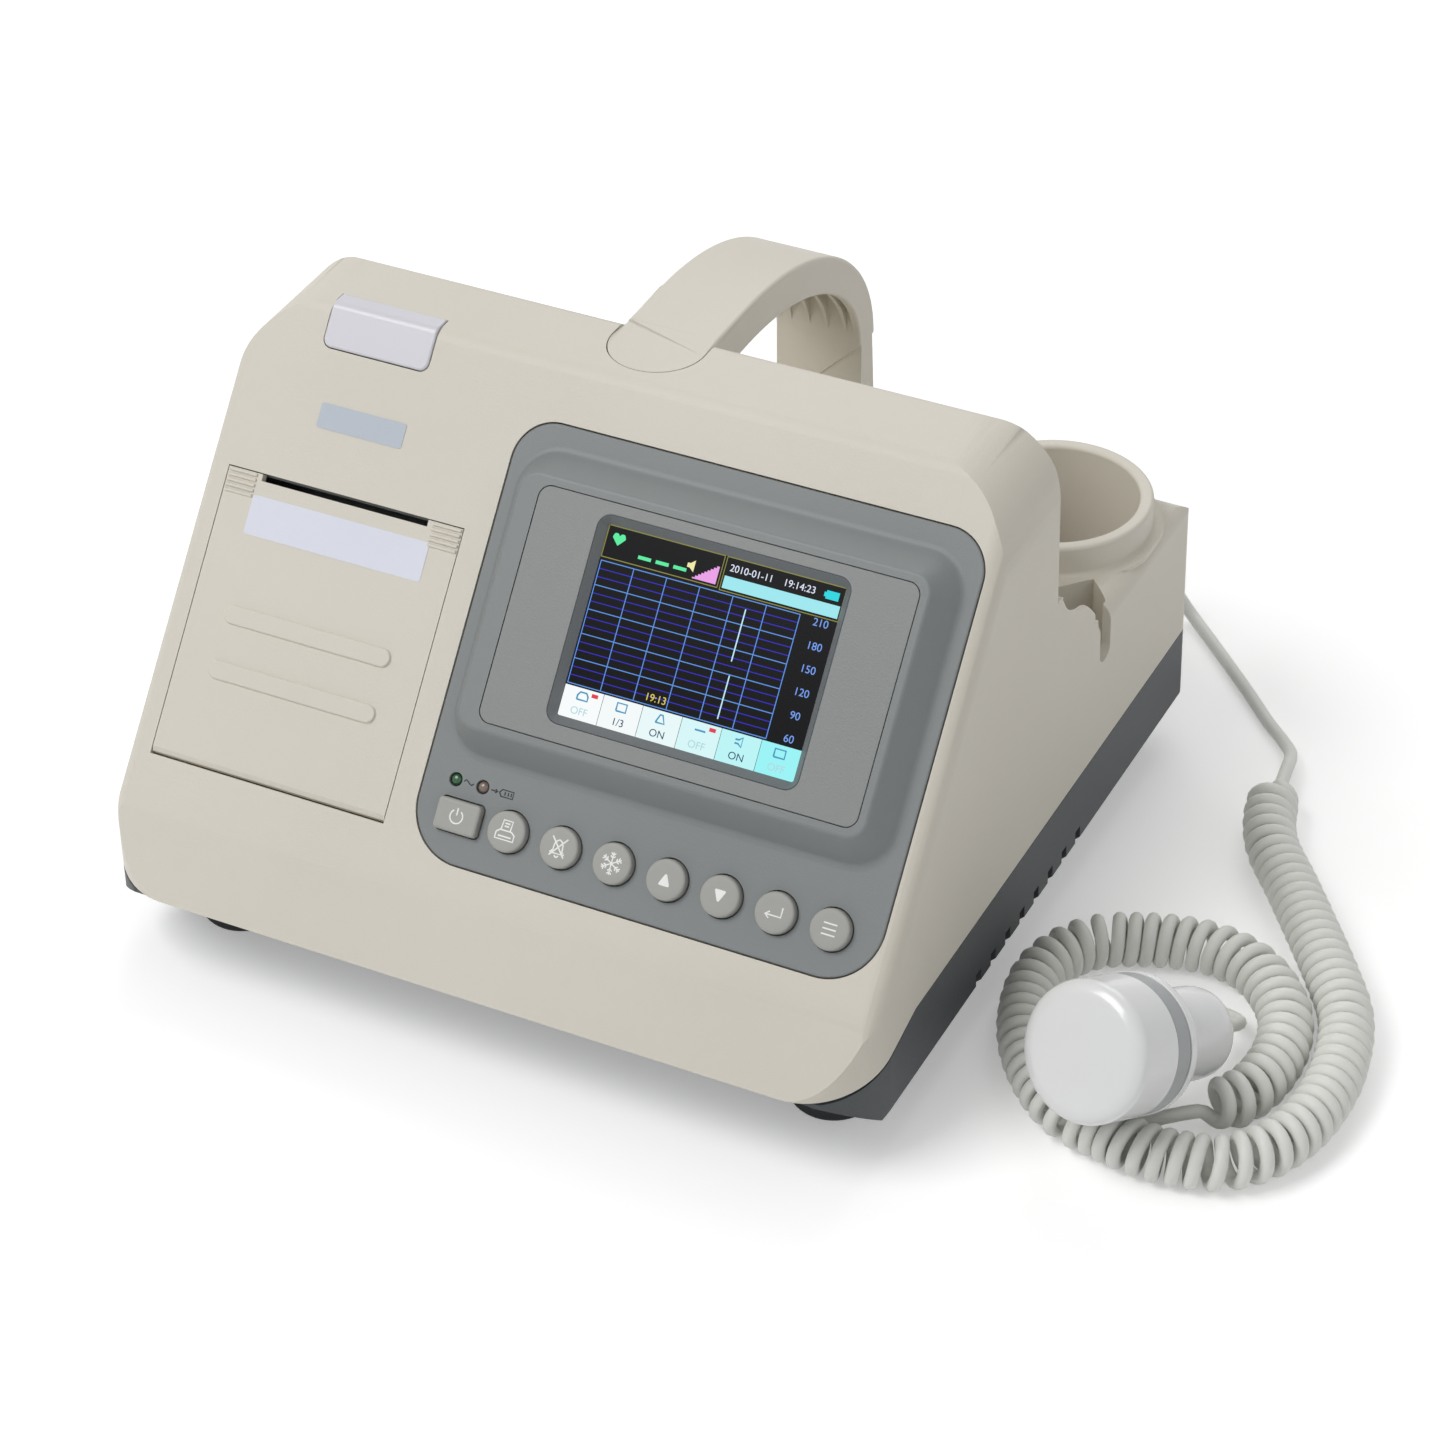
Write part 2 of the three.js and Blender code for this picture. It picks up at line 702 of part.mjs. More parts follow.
function upperShell() {
  const fin = [
    [headRearY - wall / 2, shelfHeight - wall], [headRearY + slotStart, shelfHeight - wall],
    ...finShares.map(([along, up]) => [headRearY + along * finLength, shelfHeight + up * finHeight]),
    [headRearY - wall / 2, shelfHeight + finHeight],
  ];
  const outer = shellForm(0, 0);
  const skin = cut(outer, shellForm(wall, wall + overrun));
  const ledge = prism('z', inset(bezelOutline, -wall), -wall - fit - ledgeThickness, -wall / 2);
  const bossTops = [doorLeft - fit - hingeBossLength, doorRight + fit].map((low) => panelBlock(
    low, low + hingeBossLength, hingeAt - doorRound - fit, hingeAt + doorRound + fit,
    -hingeBossHeight, -wall / 2));
  const pad = prism('z', tongueOutline(-wall), tongueFloor - ledgeThickness, topHeight - wall / 2);
  const tub = prism('z', inset(pocketOutline, -wall), pocketFloor - wall, shelfHeight - wall / 2);
  const columns = posts.map(([x, y]) => rod(postRadius, postFoot, topHeight).translate(x, y, 0));
  const legColumns = [-1, 1].map((side) => rod(screwHeadRadius, legScrewSeat, shelfHeight, smallSides)
    .translate(side * handleScrewSpacing / 2, legY, 0));
  const inner = meet(
    join(onPanel(ledge), bossTops.map(onPanel), pad, tub, columns, legColumns), shellForm(wall / 2, wall));
  const cup = meet(cupBody(), lean(prism('z', planOutline, 0, topHeight)));
  const whole = join(skin, inner, cup, lean(prism('x', fin, half - sideWallThickness, half)));

  const recess = prism('z', inset(bezelOutline, -fit), -wall - fit, overrun);
  const opening = prism('z', inset(bezelOutline, ledgeWidth), -overrun, overrun);
  const doorway = prism('z', inset(doorOutline, -fit), -wall - fit, overrun);
  const pinBore = alongX(rod(doorBoreRadius, doorLeft - fit - doorPinReach,
    doorRight + fit + doorPinReach, smallSides)).translate(0, -hingeAt, -doorRound);
  const well = rod(cupRadius, cupFloor, topHeight, largeSides).translate(cupX, cupY, 0);
  const pocket = prism('z', pocketOutline, pocketFloor, topHeight);
  const bores = posts.map(([x, y]) => rod(postBore, postFoot - overrun, postFoot + screwLength, smallSides)
    .translate(x, y, 0));
  const tongue = prism('z', tongueOutline(-fit), tongueFloor, topHeight + overrun);
  const tongueHole = rod(handleBossRadius + fit, tongueFloor - overrun, topHeight)
    .translate(0, tongueCentre, 0);
  const legHoles = [-1, 1].map((side) => rod(screwRadius + fit, legScrewSeat - overrun,
    topHeight - handleDrop, smallSides).translate(side * handleScrewSpacing / 2, legY, 0));
  const glandHole = alongY(rod(glandShank + fit, rearY - overrun, rearY + overrun))
    .translate(glandX, 0, glandZ);
  const inletHole = block(
    -inletOffset - inletWidth / 2 - fit, -inletOffset + inletWidth / 2 + fit,
    rearY - overrun, rearY + overrun, inletFloor - fit, inletFloor + inletHeight + fit);
  return cut(whole, [recess, opening, doorway, pinBore].map(onPanel),
    lampPrism(-overrun, wall + fit, fit), well, pocket, pocketSlot(), bores, tongue, tongueHole,
    legHoles, glandHole, inletHole);
}

// Carrying handle

function handleArc(less, lessRise, from, to, steps) {
  const arc = [];
  for (let step = 0; step <= steps; step += 1) {
    const angle = from + ((to - from) * step) / steps;
    arc.push([
      handleCentreY + (handleReach - less) * Math.cos(angle),
      handleCentreZ + (handleDrop - lessRise) * Math.sin(angle),
    ]);
  }
  return arc;
}

function handleGeometry() {
  const quarter = Math.PI / 2;
  const legFoot = shelfHeight - rearRound;
  const arcs = 10;
  const side = [
    [headRearY + fit, topHeight - handleThickness],
    ...handleArc(handleRearThickness, handleThickness, quarter, 0, arcs),
    [rearY - handleRearThickness, legFoot], [rearY, legFoot],
    ...handleArc(0, 0, 0, quarter, arcs),
    [headRearY + fit, topHeight],
  ];
  const shape = new THREE.Shape(side.map(([y, z]) => new THREE.Vector2(y, z)));
  const bow = new THREE.ExtrudeGeometry(shape, {
    depth: handleWidth - 2 * handleEdge, bevelThickness: handleEdge, bevelSize: handleEdge * 0.6,
    bevelOffset: -handleEdge * 0.6, bevelSegments: 2,
  }).translate(0, 0, -handleHalf + handleEdge).applyMatrix4(axes.x);
  const legTop = shelfHeight + handleScrewRise + screwHeadRadius;
  const strapStart = headRearY + fit + handleSkin + handleEdge;
  const channelSide = [
    [strapStart, topHeight - handleThickness - overrun],
    ...handleArc(handleRearThickness + overrun, handleThickness + overrun, quarter, 0, arcs),
    [rearY - handleRearThickness - overrun, legTop], [rearY - handleSkin, legTop],
    ...handleArc(handleSkin, handleSkin, 0, quarter, arcs),
    [strapStart, topHeight - handleSkin],
  ];
  const channel = prism('x', channelSide, -handleHalf + handleSkin * 1.4, handleHalf - handleSkin * 1.4);
  const ribs = [];
  for (let rib = 1; rib <= handleRibs; rib += 1) {
    const angle = (quarter * rib) / (handleRibs + 0.5);
    const length = handleReach - handleSkin / 2;
    const ratio = handleDrop / handleReach;
    const start = length * (1 - (handleThickness - handleSkin) / handleDrop);
    const plate = block(start, length, -handleRibThickness / 2, handleRibThickness / 2,
      -handleHalf + handleSkin, handleHalf - handleSkin);
    plate.rotateZ(angle).scale(1, ratio, 1).translate(handleCentreY, handleCentreZ, 0);
    ribs.push(plate.applyMatrix4(axes.x));
  }
  const tongue = prism('z', tongueOutline(0), topHeight - tongueThickness, topHeight);
  const kept = meet(tongue, block(-half, half, frontY, headRearY + handleEdge * 2, 0, topHeight));
  const boss = rod(handleBossRadius, topHeight - tongueThickness - handleBossDepth, topHeight - 1)
    .translate(0, tongueCentre, 0);
  const seated = cut(join(cut(bow, channel), ribs), shellForm(-fit, 0));
  const bores = [-1, 1].map((way) => rod(screwRadius + fit, legFoot, legTop - handleSkin / 2, smallSides)
    .translate(way * handleScrewSpacing / 2, legY, 0));
  const bossBore = rod(screwRadius + fit, tongueFloor - handleBossDepth - overrun,
    topHeight - tongueThickness, smallSides).translate(0, tongueCentre, 0);
  return cut(join(seated, kept, boss), bores, bossBore);
}

// Front bezel, display and keys, all in panel places

const keyPlaces = Array.from({ length: keyCount }, (_, at) => firstKeyAt + at * keyPitch);
const keyNames = ['print', 'mute', 'freeze', 'up', 'down', 'enter', 'menu'];
const lampPlaces = [powerKeyAt - lampSpacing / 2, powerKeyAt + lampSpacing / 2];
const plateauFoot = rectangle(
  bezelLeft + plateauRun / 2, bezelRight - plateauRun / 2,
  -bezelTop - bezelAbovePlateau - plateauLength, -bezelTop - bezelAbovePlateau, plateauFootCorner);
const plateOutline = rectangle(
  plateMiddle - plateWidth / 2, plateMiddle + plateWidth / 2,
  -plateTop - plateLength, -plateTop, plateCorner);
const plateauTop = inset(plateOutline, -plateauBorder).map(([x, y]) => [x, y, plateauTopCorner]);
const screenOutline = rectangle(
  screenMiddle - screenWidth / 2, screenMiddle + screenWidth / 2,
  -screenTop - screenLength, -screenTop, plateauBorder);
const powerKeyOutline = rectangle(
  powerKeyAt - powerKeyWidth / 2, powerKeyAt + powerKeyWidth / 2,
  -keyRow - powerKeyLength / 2, -keyRow + powerKeyLength / 2, keyClearance * 3);
const plateFloor = plateauHeight - plateThickness - fit;
const windowTop = plateFloor - screenSink - fit;
const cornerSteps = 4;
const bezelPostPlaces = [
  [firstKeyAt, keyRow - keyRowInset], [screenMiddle, keyRow - keyRowInset],
  [bezelRight - keyEndMargin, keyRow - keyRowInset],
];

function frontBezel() {
  const flange = prism('z', bezelOutline, -wall, 0);
  const plateau = loft(plateauFoot, -wall / 2, plateauTop, plateauHeight, cornerSteps);
  const hollowFoot = inset(plateauFoot, wall);
  const hollowTop = inset(plateauTop, wall);
  const hollow = loft(hollowFoot, -wall - fit, hollowTop, windowTop + fit, cornerSteps);
  const seat = prism('z', inset(plateOutline, -fit), plateFloor, plateauHeight + overrun);
  const frame = prism('z', screenOutline, -overrun, plateauHeight);
  const keyHoles = keyPlaces.map((x) => rod(keyRadius + keyClearance, -overrun, overrun)
    .translate(x, -keyRow, 0));
  const powerHole = prism('z', inset(powerKeyOutline, -keyClearance), -overrun, overrun);
  const lampHoles = lampPlaces.map((x) => rod(lampRadius + fit, -overrun, overrun, smallSides)
    .translate(x, -lampRow, 0));
  const supports = bezelPostPlaces.map(([x, y]) => rod(
    bezelPostRadius, keypadTop + fit, -wall / 2, smallSides).translate(x, -y, 0));
  const open = cut(join(flange, plateau), hollow, seat, frame, keyHoles, powerHole, lampHoles);
  return join(open, supports);
}

function roundKey() {
  const crownEdge = keyStand - keyCrown;
  return turned([
    [0, -wall - fit - keyFlangeHeight], [keyRadius + keyFlange, -wall - fit - keyFlangeHeight],
    [keyRadius + keyFlange, -wall - fit], [keyRadius, -wall - fit], [keyRadius, crownEdge - keyCrown],
    [keyRadius - 2 * keyCrown, crownEdge], [0, keyStand],
  ]);
}

function powerKey() {
  const low = -wall - fit - keyFlangeHeight;
  const skirt = prism('z', inset(powerKeyOutline, -keyFlange), low, -wall - fit);
  const cap = prism('z', powerKeyOutline, -wall - fit - keyFlangeHeight / 2, keyStand - keyCrown);
  const crown = loft(inset(powerKeyOutline, keyCrown), keyStand - 2 * keyCrown,
    inset(powerKeyOutline, 3 * keyCrown), keyStand, 2);
  return join(skirt, cap, crown);
}

function keypadBoard() {
  const low = -keyRow - keyRowInset + ledgeWidth + fit;
  const board = prism('z', rectangle(
    bezelLeft + ledgeWidth + fit, bezelRight - ledgeWidth - fit,
    low, low + keyRowLength, keyClearance * 5), keypadTop - boardThickness, keypadTop);
  const switches = [powerKeyAt, ...keyPlaces].map((x) => rod(
    switchRadius, keypadTop - boardThickness / 2, keypadTop + switchHeight, smallSides)
    .translate(x, -keyRow, 0));
  return join(board, switches);
}

function panelLamp(x) {
  return turned([
    [0, keypadTop + fit], [lampRadius + fit, keypadTop + fit],
    [lampRadius + fit, keypadTop + 3 * fit], [lampRadius, keypadTop + 3 * fit], [lampRadius, 0],
    [lampRadius * 0.7, lampStand * 0.75], [0, lampStand],
  ], smallSides).translate(x, -lampRow, 0);
}

// Printer, in panel places

const paperAxis = (doorTop + hingeAt) / 2 + doorRound;
const rollerAxis = doorTop + rollerFromTop;
const rollerHalf = paperWidth / 2 + rollerExtra;
const headFaceLevel = -rollerBelowDoor - rollerRadius - fit;
const cradleLow = doorLeft + cradleInset;
const cradleHigh = doorRight - cradleInset;

function printerDoor() {
  const profile = [
    [-doorFoot, -2 * doorRound, doorRound * 0.98],
    [-doorFoot + 2 * doorRound, -2 * doorRound],
    [-doorFoot + 3 * doorRound, -wall], [-doorTop, -wall], [-doorTop, 0], [-doorFoot, 0, doorRound * 0.98],
  ];
  const slab = prism('x', profile, doorLeft, doorRight);
  const bars = [0, barSpacing].map((more) => {
    const at = -doorFoot + barFootMargin + more;
    const bar = [[at - barHalfWidth, -wall / 2], [at + barHalfWidth, -wall / 2],
      [at + barHalfWidth, 0], [at + barHalfWidth / 2, barHeight],
      [at - barHalfWidth / 2, barHeight], [at - barHalfWidth, 0]];
    return prism('x', bar, doorMiddle - barLength / 2, doorMiddle + barLength / 2);
  });
  const grips = [doorLeft, doorRight - gripWidth].flatMap((low) => {
    const pitch = gripLength / gripRibs;
    return Array.from({ length: gripRibs }, (_, at) => panelBlock(
      low + fit, low + gripWidth, doorTop + (at + 0.3) * pitch, doorTop + (at + 0.85) * pitch,
      -wall / 2, gripRibHeight));
  });
  const ears = [-1, 1].map((side) => {
    const middle = doorMiddle + side * (rollerHalf + fit + earThickness / 2);
    const ear = [
      [-rollerAxis - earRadius, -rollerBelowDoor - earRadius, earRadius * 0.98],
      [-rollerAxis + earRadius, -rollerBelowDoor - earRadius, earRadius * 0.98],
      [-rollerAxis + earRadius, -wall / 2], [-rollerAxis - earRadius, -wall / 2],
    ];
    return prism('x', ear, middle - earThickness / 2, middle + earThickness / 2);
  });
  const slot = panelBlock(doorMiddle - slotWidth / 2, doorMiddle + slotWidth / 2,
    doorTop - overrun, doorTop + slotGap, -overrun, overrun);
  const pinBore = alongX(rod(doorBoreRadius, doorLeft - overrun, doorRight + overrun, smallSides))
    .translate(0, -hingeAt, -doorRound);
  const rollerBore = alongX(rod(rollerBoreRadius, doorLeft, doorRight))
    .translate(0, -rollerAxis, -rollerBelowDoor);
  return cut(join(slab, bars, grips, ears), slot, pinBore, rollerBore);
}

function platenRoller() {
  const shaft = rollerHalf + fit + earThickness;
  return alongX(turned([
    [0, -shaft], [rollerShaftRadius, -shaft], [rollerShaftRadius, -rollerHalf],
    [rollerRadius, -rollerHalf], [rollerRadius, rollerHalf], [rollerShaftRadius, rollerHalf],
    [rollerShaftRadius, shaft], [0, shaft],
  ])).translate(doorMiddle, -rollerAxis, -rollerBelowDoor);
}

function paperRoll() {
  const outline = [
    [paperCoreRadius, -paperWidth / 2], [paperRadius, -paperWidth / 2],
    [paperRadius, paperWidth / 2], [paperCoreRadius, paperWidth / 2],
    [paperCoreRadius, -paperWidth / 2],
  ];
  return alongX(turned(outline, largeSides)).translate(doorMiddle, -paperAxis, -paperBelowDoor);
}

function printHead() {
  const half = headBlockLength / 2;
  const section = [
    [-rollerAxis - half, headFaceLevel - headBlockHeight],
    [-rollerAxis + half, headFaceLevel - headBlockHeight],
    [-rollerAxis + half, headFaceLevel - headBlockHeight / 2],
    [-rollerAxis + half / 3, headFaceLevel], [-rollerAxis - half, headFaceLevel],
  ];
  return prism('x', section, doorMiddle - rollerHalf, doorMiddle + rollerHalf);
}

function printerCradle() {
  const rim = -wall - fit;
  const top = -doorTop - fit;
  const headFloor = headFaceLevel - headBlockHeight - fit;
  const headEnd = -rollerAxis - headBlockLength / 2 - fit;
  const trough = paperRadius + 2 * fit;
  const foot = -doorFoot + 3 * doorRound + cradleWall + fit;
  const cavity = [
    [headEnd, headFloor], [top, headFloor], [top, rim + overrun], [foot, rim + overrun],
    [foot, -paperBelowDoor / 2], [-paperAxis - trough, -paperBelowDoor],
  ];
  const steps = 10;
  for (let step = 1; step <= steps; step += 1) {
    const angle = Math.PI + (Math.PI * step) / steps;
    cavity.push([
      -paperAxis + trough * Math.cos(angle), -paperBelowDoor + trough * Math.sin(angle)]);
  }
  const outside = [
    [-paperAxis - trough, -cradleDepth], [-paperAxis + trough, -cradleDepth],
    [top + cradleWall, headFloor - cradleWall], [top + cradleWall, rim],
    [foot - cradleWall, rim], [foot - cradleWall, -paperBelowDoor / 2],
  ];
  const body = prism('x', outside, cradleLow, cradleHigh);
  const flange = prism('z', rectangle(doorLeft - cradleFlange, doorRight + cradleFlange,
    foot - cradleWall + 2 * doorRound, -doorTop + cradleFlange), rim - cradleWall, rim);
  const hollow = prism('x', cavity, cradleLow + cradleWall, cradleHigh - cradleWall);
  return cut(join(body, flange), hollow);
}

// Base tray

const bayLeft = bayRight - batteryWidth - 2 * bayClearance;
const bayBack = rearY - boardRearInset - Math.max(mainBoardLength, powerBoardLength) - bayGap;
const bayFront = bayBack - batteryLength - 2 * bayClearance;
const bayTop = baseHeight + coverThickness + batteryHeight + bayClearance;
const boardLevel = floorTop + boardStand;
const speakerX = half - speakerSideInset;
const speakerY = frontY + speakerFrontInset;
const mainBoardRight = half - boardSideInset;
const powerBoardLeft = -half + boardSideInset;
const powerBoardWidth = mainBoardRight - mainBoardWidth - betweenBoards - powerBoardLeft;
const footPlaces = [
  [-half + footSideInset, frontY + footFrontInset], [half - footSideInset, frontY + footFrontInset],
  [-half + footSideInset, rearY - footRearInset], [half - footSideInset, rearY - footRearInset],
];

function boardArea(x0, width, length) {
  return [x0, x0 + width, rearY - boardRearInset - length, rearY - boardRearInset];
}

const mainBoardArea = boardArea(mainBoardRight - mainBoardWidth, mainBoardWidth, mainBoardLength);
const powerBoardArea = boardArea(powerBoardLeft, powerBoardWidth, powerBoardLength);

function boardPosts([x0, x1, y0, y1]) {
  const near = boardPostInset;
  return [[x0 + near, y0 + near], [x1 - near, y0 + near], [x0 + near, y1 - near], [x1 - near, y1 - near]]
    .map(([x, y]) => rod(boardPostRadius, floorTop - wall / 2, boardLevel - fit, smallSides)
      .translate(x, y, 0));
}

function baseTray() {
  const skin = cut(trayForm(0, 0), trayForm(wall, wall + overrun));
  const tongueRing = cut(
    trayForm(wall + fit, tongueHeight), trayForm(wall + fit + tongueWall, tongueHeight + overrun),
    block(-half, half, frontY, rearY, 0, lipHeight - tongueHeight * 2));
  const columns = posts.map(([x, y]) => rod(postRadius, 0, postFoot - fit).translate(x, y, 0));
  const boardColumns = [...boardPosts(mainBoardArea), ...boardPosts(powerBoardArea)];
  const bay = block(bayLeft - bayWall, bayRight + bayWall, bayFront - bayWall, bayBack + bayWall,
    baseHeight, bayTop + bayWall);
  const border = coverBorder + fit + bayWall;
  const rim = block(bayLeft - border, bayRight + border, bayFront - border, bayBack + border,
    baseHeight, baseHeight + coverThickness + fit + bayWall);
  const kept = meet(join(columns, boardColumns, bay, rim), trayForm(0, 0));
  const bosses = footPlaces.map(([x, y]) => rod(footBossRadius, footHeight + fit, floorTop)
    .translate(x, y, 0));
  const coverSeat = block(bayLeft - coverBorder - fit, bayRight + coverBorder + fit,
    bayFront - coverBorder - fit, bayBack + coverBorder + fit, 0, baseHeight + coverThickness + fit);
  const bayHollow = block(bayLeft, bayRight, bayFront, bayBack, 0, bayTop);
  const screwWays = posts.flatMap(([x, y]) => [
    rod(screwHeadRadius + fit, 0, postFoot - screwSeat, smallSides).translate(x, y, 0),
    rod(screwRadius + fit, 0, postFoot + overrun, smallSides).translate(x, y, 0),
  ]);
  const footHoles = footPlaces.map(([x, y]) => (
    rod(footStemRadius + 3 * fit, 0, floorTop + overrun, smallSides).translate(x, y, 0)
  ));
  const vents = [];
  for (let at = 0; at < ventCount; at += 1) {
    const start = frontY + ventStartInset + at * ventPitch;
    [-1, 1].forEach((side) => {
      const edge = side * (half - ventDepth);
      const beyond = side * (half + overrun);
      vents.push(block(Math.min(edge, beyond), Math.max(edge, beyond), start, start + ventWidth,
        baseHeight + ventRise, baseHeight + ventRise + ventHeight));
    });
  }
  const grille = [];
  for (let at = 0; at < grilleSlots; at += 1) {
    const x = speakerX + (at - (grilleSlots - 1) / 2) * grillePitch;
    grille.push(block(x - grilleWidth / 2, x + grilleWidth / 2, speakerY - grilleLength / 2,
      speakerY + grilleLength / 2, 0, floorTop + overrun / 4));
  }
  return cut(join(skin, tongueRing, kept, bosses),
    coverSeat, bayHollow, screwWays, footHoles, vents, grille);
}

function screw(x, y, seat, length) {
  return turned([
    [0, seat - screwHeadHeight], [screwHeadRadius, seat - screwHeadHeight], [screwHeadRadius, seat],
    [screwRadius, seat], [screwRadius, seat + length], [0, seat + length],
  ], smallSides).translate(x, y, 0);
}

function foot(x, y) {
  return turned([
    [0, 0], [footRadius - fit, 0], [footRadius, fit], [footRadius, footHeight],
    [footStemRadius, footHeight], [footStemRadius, floorTop], [0, floorTop],
  ]).translate(x, y, 0);
}

function speaker() {
  const magnet = speakerRadius * magnetShare;
  const low = floorTop + fit;
  return turned([
    [0, low], [speakerRadius, low], [speakerRadius, low + wall], [magnet + wall, low + speakerHeight / 2],
    [magnet, low + speakerHeight / 2], [magnet, low + speakerHeight], [0, low + speakerHeight],
  ]).translate(speakerX, speakerY, 0);
}

function circuitBoard([x0, x1, y0, y1], blocks) {
  const board = block(x0, x1, y0, y1, boardLevel, boardLevel + boardThickness);
  const parts = blocks.map(([left, right, front, rear, rise]) => block(
    x0 + (x1 - x0) * left, x0 + (x1 - x0) * right, y0 + (y1 - y0) * front, y0 + (y1 - y0) * rear,
    boardLevel + boardThickness / 2, boardLevel + boardThickness + rise * boardStand));
  return join(board, parts);
}

function mainsInlet() {
  const outline = (distance) => inset([
    [inletFloor, -inletOffset - inletWidth / 2],
    [inletFloor + inletHeight - inletChamfer, -inletOffset - inletWidth / 2],
    [inletFloor + inletHeight, -inletOffset - inletWidth / 2 + inletChamfer],
    [inletFloor + inletHeight, -inletOffset + inletWidth / 2 - inletChamfer],
    [inletFloor + inletHeight - inletChamfer, -inletOffset + inletWidth / 2],
    [inletFloor, -inletOffset + inletWidth / 2],
  ], distance);
  const outside = rearY + fit;
  const body = prism('y', outline(0), rearY - inletBody, outside + inletFlange);
  const flange = prism('y', outline(-inletFlangeRim), outside, outside + inletFlange);
  const well = prism('y', outline(cradleWall), outside + inletFlange - inletWell, rearY + overrun);
  const pins = [-1, 0, 1].map((side) => {
    const x = -inletOffset + side * inletPinPitch;
    const z = inletFloor + inletHeight / 2 + (side ? -1 : 1) * inletPinHeight / 2;
    return block(x - inletPinWidth / 2, x + inletPinWidth / 2, rearY - inletWell - fit,
      rearY - wall, z - inletPinHeight / 2, z + inletPinHeight / 2);
  });
  return join(cut(join(body, flange), well), pins);
}

function gland() {
  const inner = -wall - fit;
  const profile = [
    [0, inner - wall / 2], [glandShank + wall / 3, inner - wall / 2], [glandShank + wall / 3, inner],
    [glandShank, inner], [glandShank, fit], [glandFlangeRadius, fit],
    [glandFlangeRadius, fit + glandFlange], [glandRadius, fit + glandFlange],
  ];
  const ribPitch = (glandReach - glandFlange - fit) / (glandRibs + 0.5);
  for (let rib = 0; rib < glandRibs; rib += 1) {
    const start = fit + glandFlange + (rib + 0.5) * ribPitch;
    const ring = glandRadius - (rib * (glandRadius - reliefWaist)) / glandRibs;
    profile.push([cordDiameter * 0.6, start], [cordDiameter * 0.6, start + ribPitch / 3]);
    profile.push([ring, start + ribPitch / 3], [ring, start + ribPitch]);
  }
  profile.push([0, glandReach]);
  return alongY(turned(profile, cordSides)).translate(glandX, rearY, glandZ);
}

// Hand probe: its pieces are turned about one axis, from the front face backwards

const probe = new THREE.Group();
const probeAxis = probeTail.clone().sub(probeFace).normalize();
probe.position.copy(probeFace);
probe.quaternion.setFromUnitVectors(new THREE.Vector3(0, 0, 1), probeAxis);
probe.updateMatrix();
monitor.add(probe);

function probeCap() {
  const profile = [[0, 0]];
  const steps = 4;
  for (let step = 0; step <= steps; step += 1) {
    const angle = (Math.PI / 2) * (step / steps);
    profile.push([
      probeRadius - probeRim + probeRim * Math.sin(angle), probeRim - probeRim * Math.cos(angle)]);
  }
  profile.push([probeRadius, probeCapLength], [probeRadius - probeSkin, probeCapLength]);
  profile.push([probeRadius - probeSkin, probeRim], [probeRadius - probeRim, probeSkin]);
  profile.push([0, probeSkin]);
  return turned(profile, largeSides);
}

function probeBody() {
  const spigot = probeRadius - probeSkin - fit;
  const groove = probeRadius - probeSkin + fit;
  const bandEnd = probeCapLength + fit + probeBandLength + fit;
  const back = new THREE.SplineCurve([
    new THREE.Vector2(probeRadius, probeHeadEnd),
    new THREE.Vector2(probeRadius * 0.93, probeHeadEnd + probeRim * 0.6),
    new THREE.Vector2(probeRadius * 0.74, probeHeadEnd + probeRim * 1.3),
    new THREE.Vector2(probeNeckRadius, probeNeckAt),
    new THREE.Vector2(probeBarrelRadius, probeBarrelAt),
    new THREE.Vector2(probeBarrelRadius - fit, probeLength - probeEndRound),
    new THREE.Vector2(probeBarrelRadius - probeEndRound, probeLength),
  ]).getPoints(8).map((point) => [point.x, point.y]);
  return turned([
    [spigot - probeSkin, probeCapLength - probeSpigot], [spigot, probeCapLength - probeSpigot],
    [spigot, probeCapLength + fit], [groove, probeCapLength + fit], [groove, bandEnd],
    [probeRadius, bandEnd], ...back, [probeBore, probeLength], [probeBore, probeLength - wall * 2],
    [probeNeckRadius - wall, probeLength - wall * 3], [probeNeckRadius - wall, probeNeckAt],
    [spigot - probeSkin, probeHeadEnd], [spigot - probeSkin, probeCapLength - probeSpigot],
  ], largeSides);
}

function probeBand() {
  const low = probeCapLength + 2 * fit;
  const high = low + probeBandLength - fit;
  const outer = probeRadius - probeBandDepth / 2;
  const inner = probeRadius - probeSkin + 2 * fit;
  return turned([[inner, low], [outer, low], [outer, high], [inner, high], [inner, low]], largeSides);
}

function probeRelief() {
  const pitch = reliefLength / (reliefRibs + 0.5);
  const profile = [
    [0, probeLength - reliefPlug], [probeBore - fit, probeLength - reliefPlug],
    [probeBore - fit, probeLength + fit], [reliefRadius, probeLength + fit],
    [reliefRadius, probeLength + pitch / 2],
  ];
  for (let rib = 0; rib < reliefRibs; rib += 1) {
    const start = probeLength + (rib + 0.5) * pitch;
    const ring = reliefRadius - (rib + 1) * (reliefRadius - reliefWaist) / reliefRibs;
    profile.push([cordDiameter * 0.6, start], [cordDiameter * 0.6, start + pitch * 0.4]);
    profile.push([ring, start + pitch * 0.4], [ring, start + pitch]);
  }
  profile.push([0, probeLength + reliefLength]);
  return turned(profile, cordSides);
}

// Cord

function tubeAlong(points, step) {
  const path = new THREE.CatmullRomCurve3(points, false, 'centripetal');
  const section = Array.from({ length: cordSides }, (_, side) => {
    const angle = (2 * Math.PI * side) / cordSides;
    return new THREE.Vector2(Math.cos(angle), Math.sin(angle)).multiplyScalar(cordDiameter / 2);
  });
  return new THREE.ExtrudeGeometry(new THREE.Shape(section), {
    steps: Math.ceil(path.getLength() / step), extrudePath: path,
  });
}

function routePoints(route, height) {
  return route.map(([x, y, z = height]) => new THREE.Vector3(x, y, z));
}

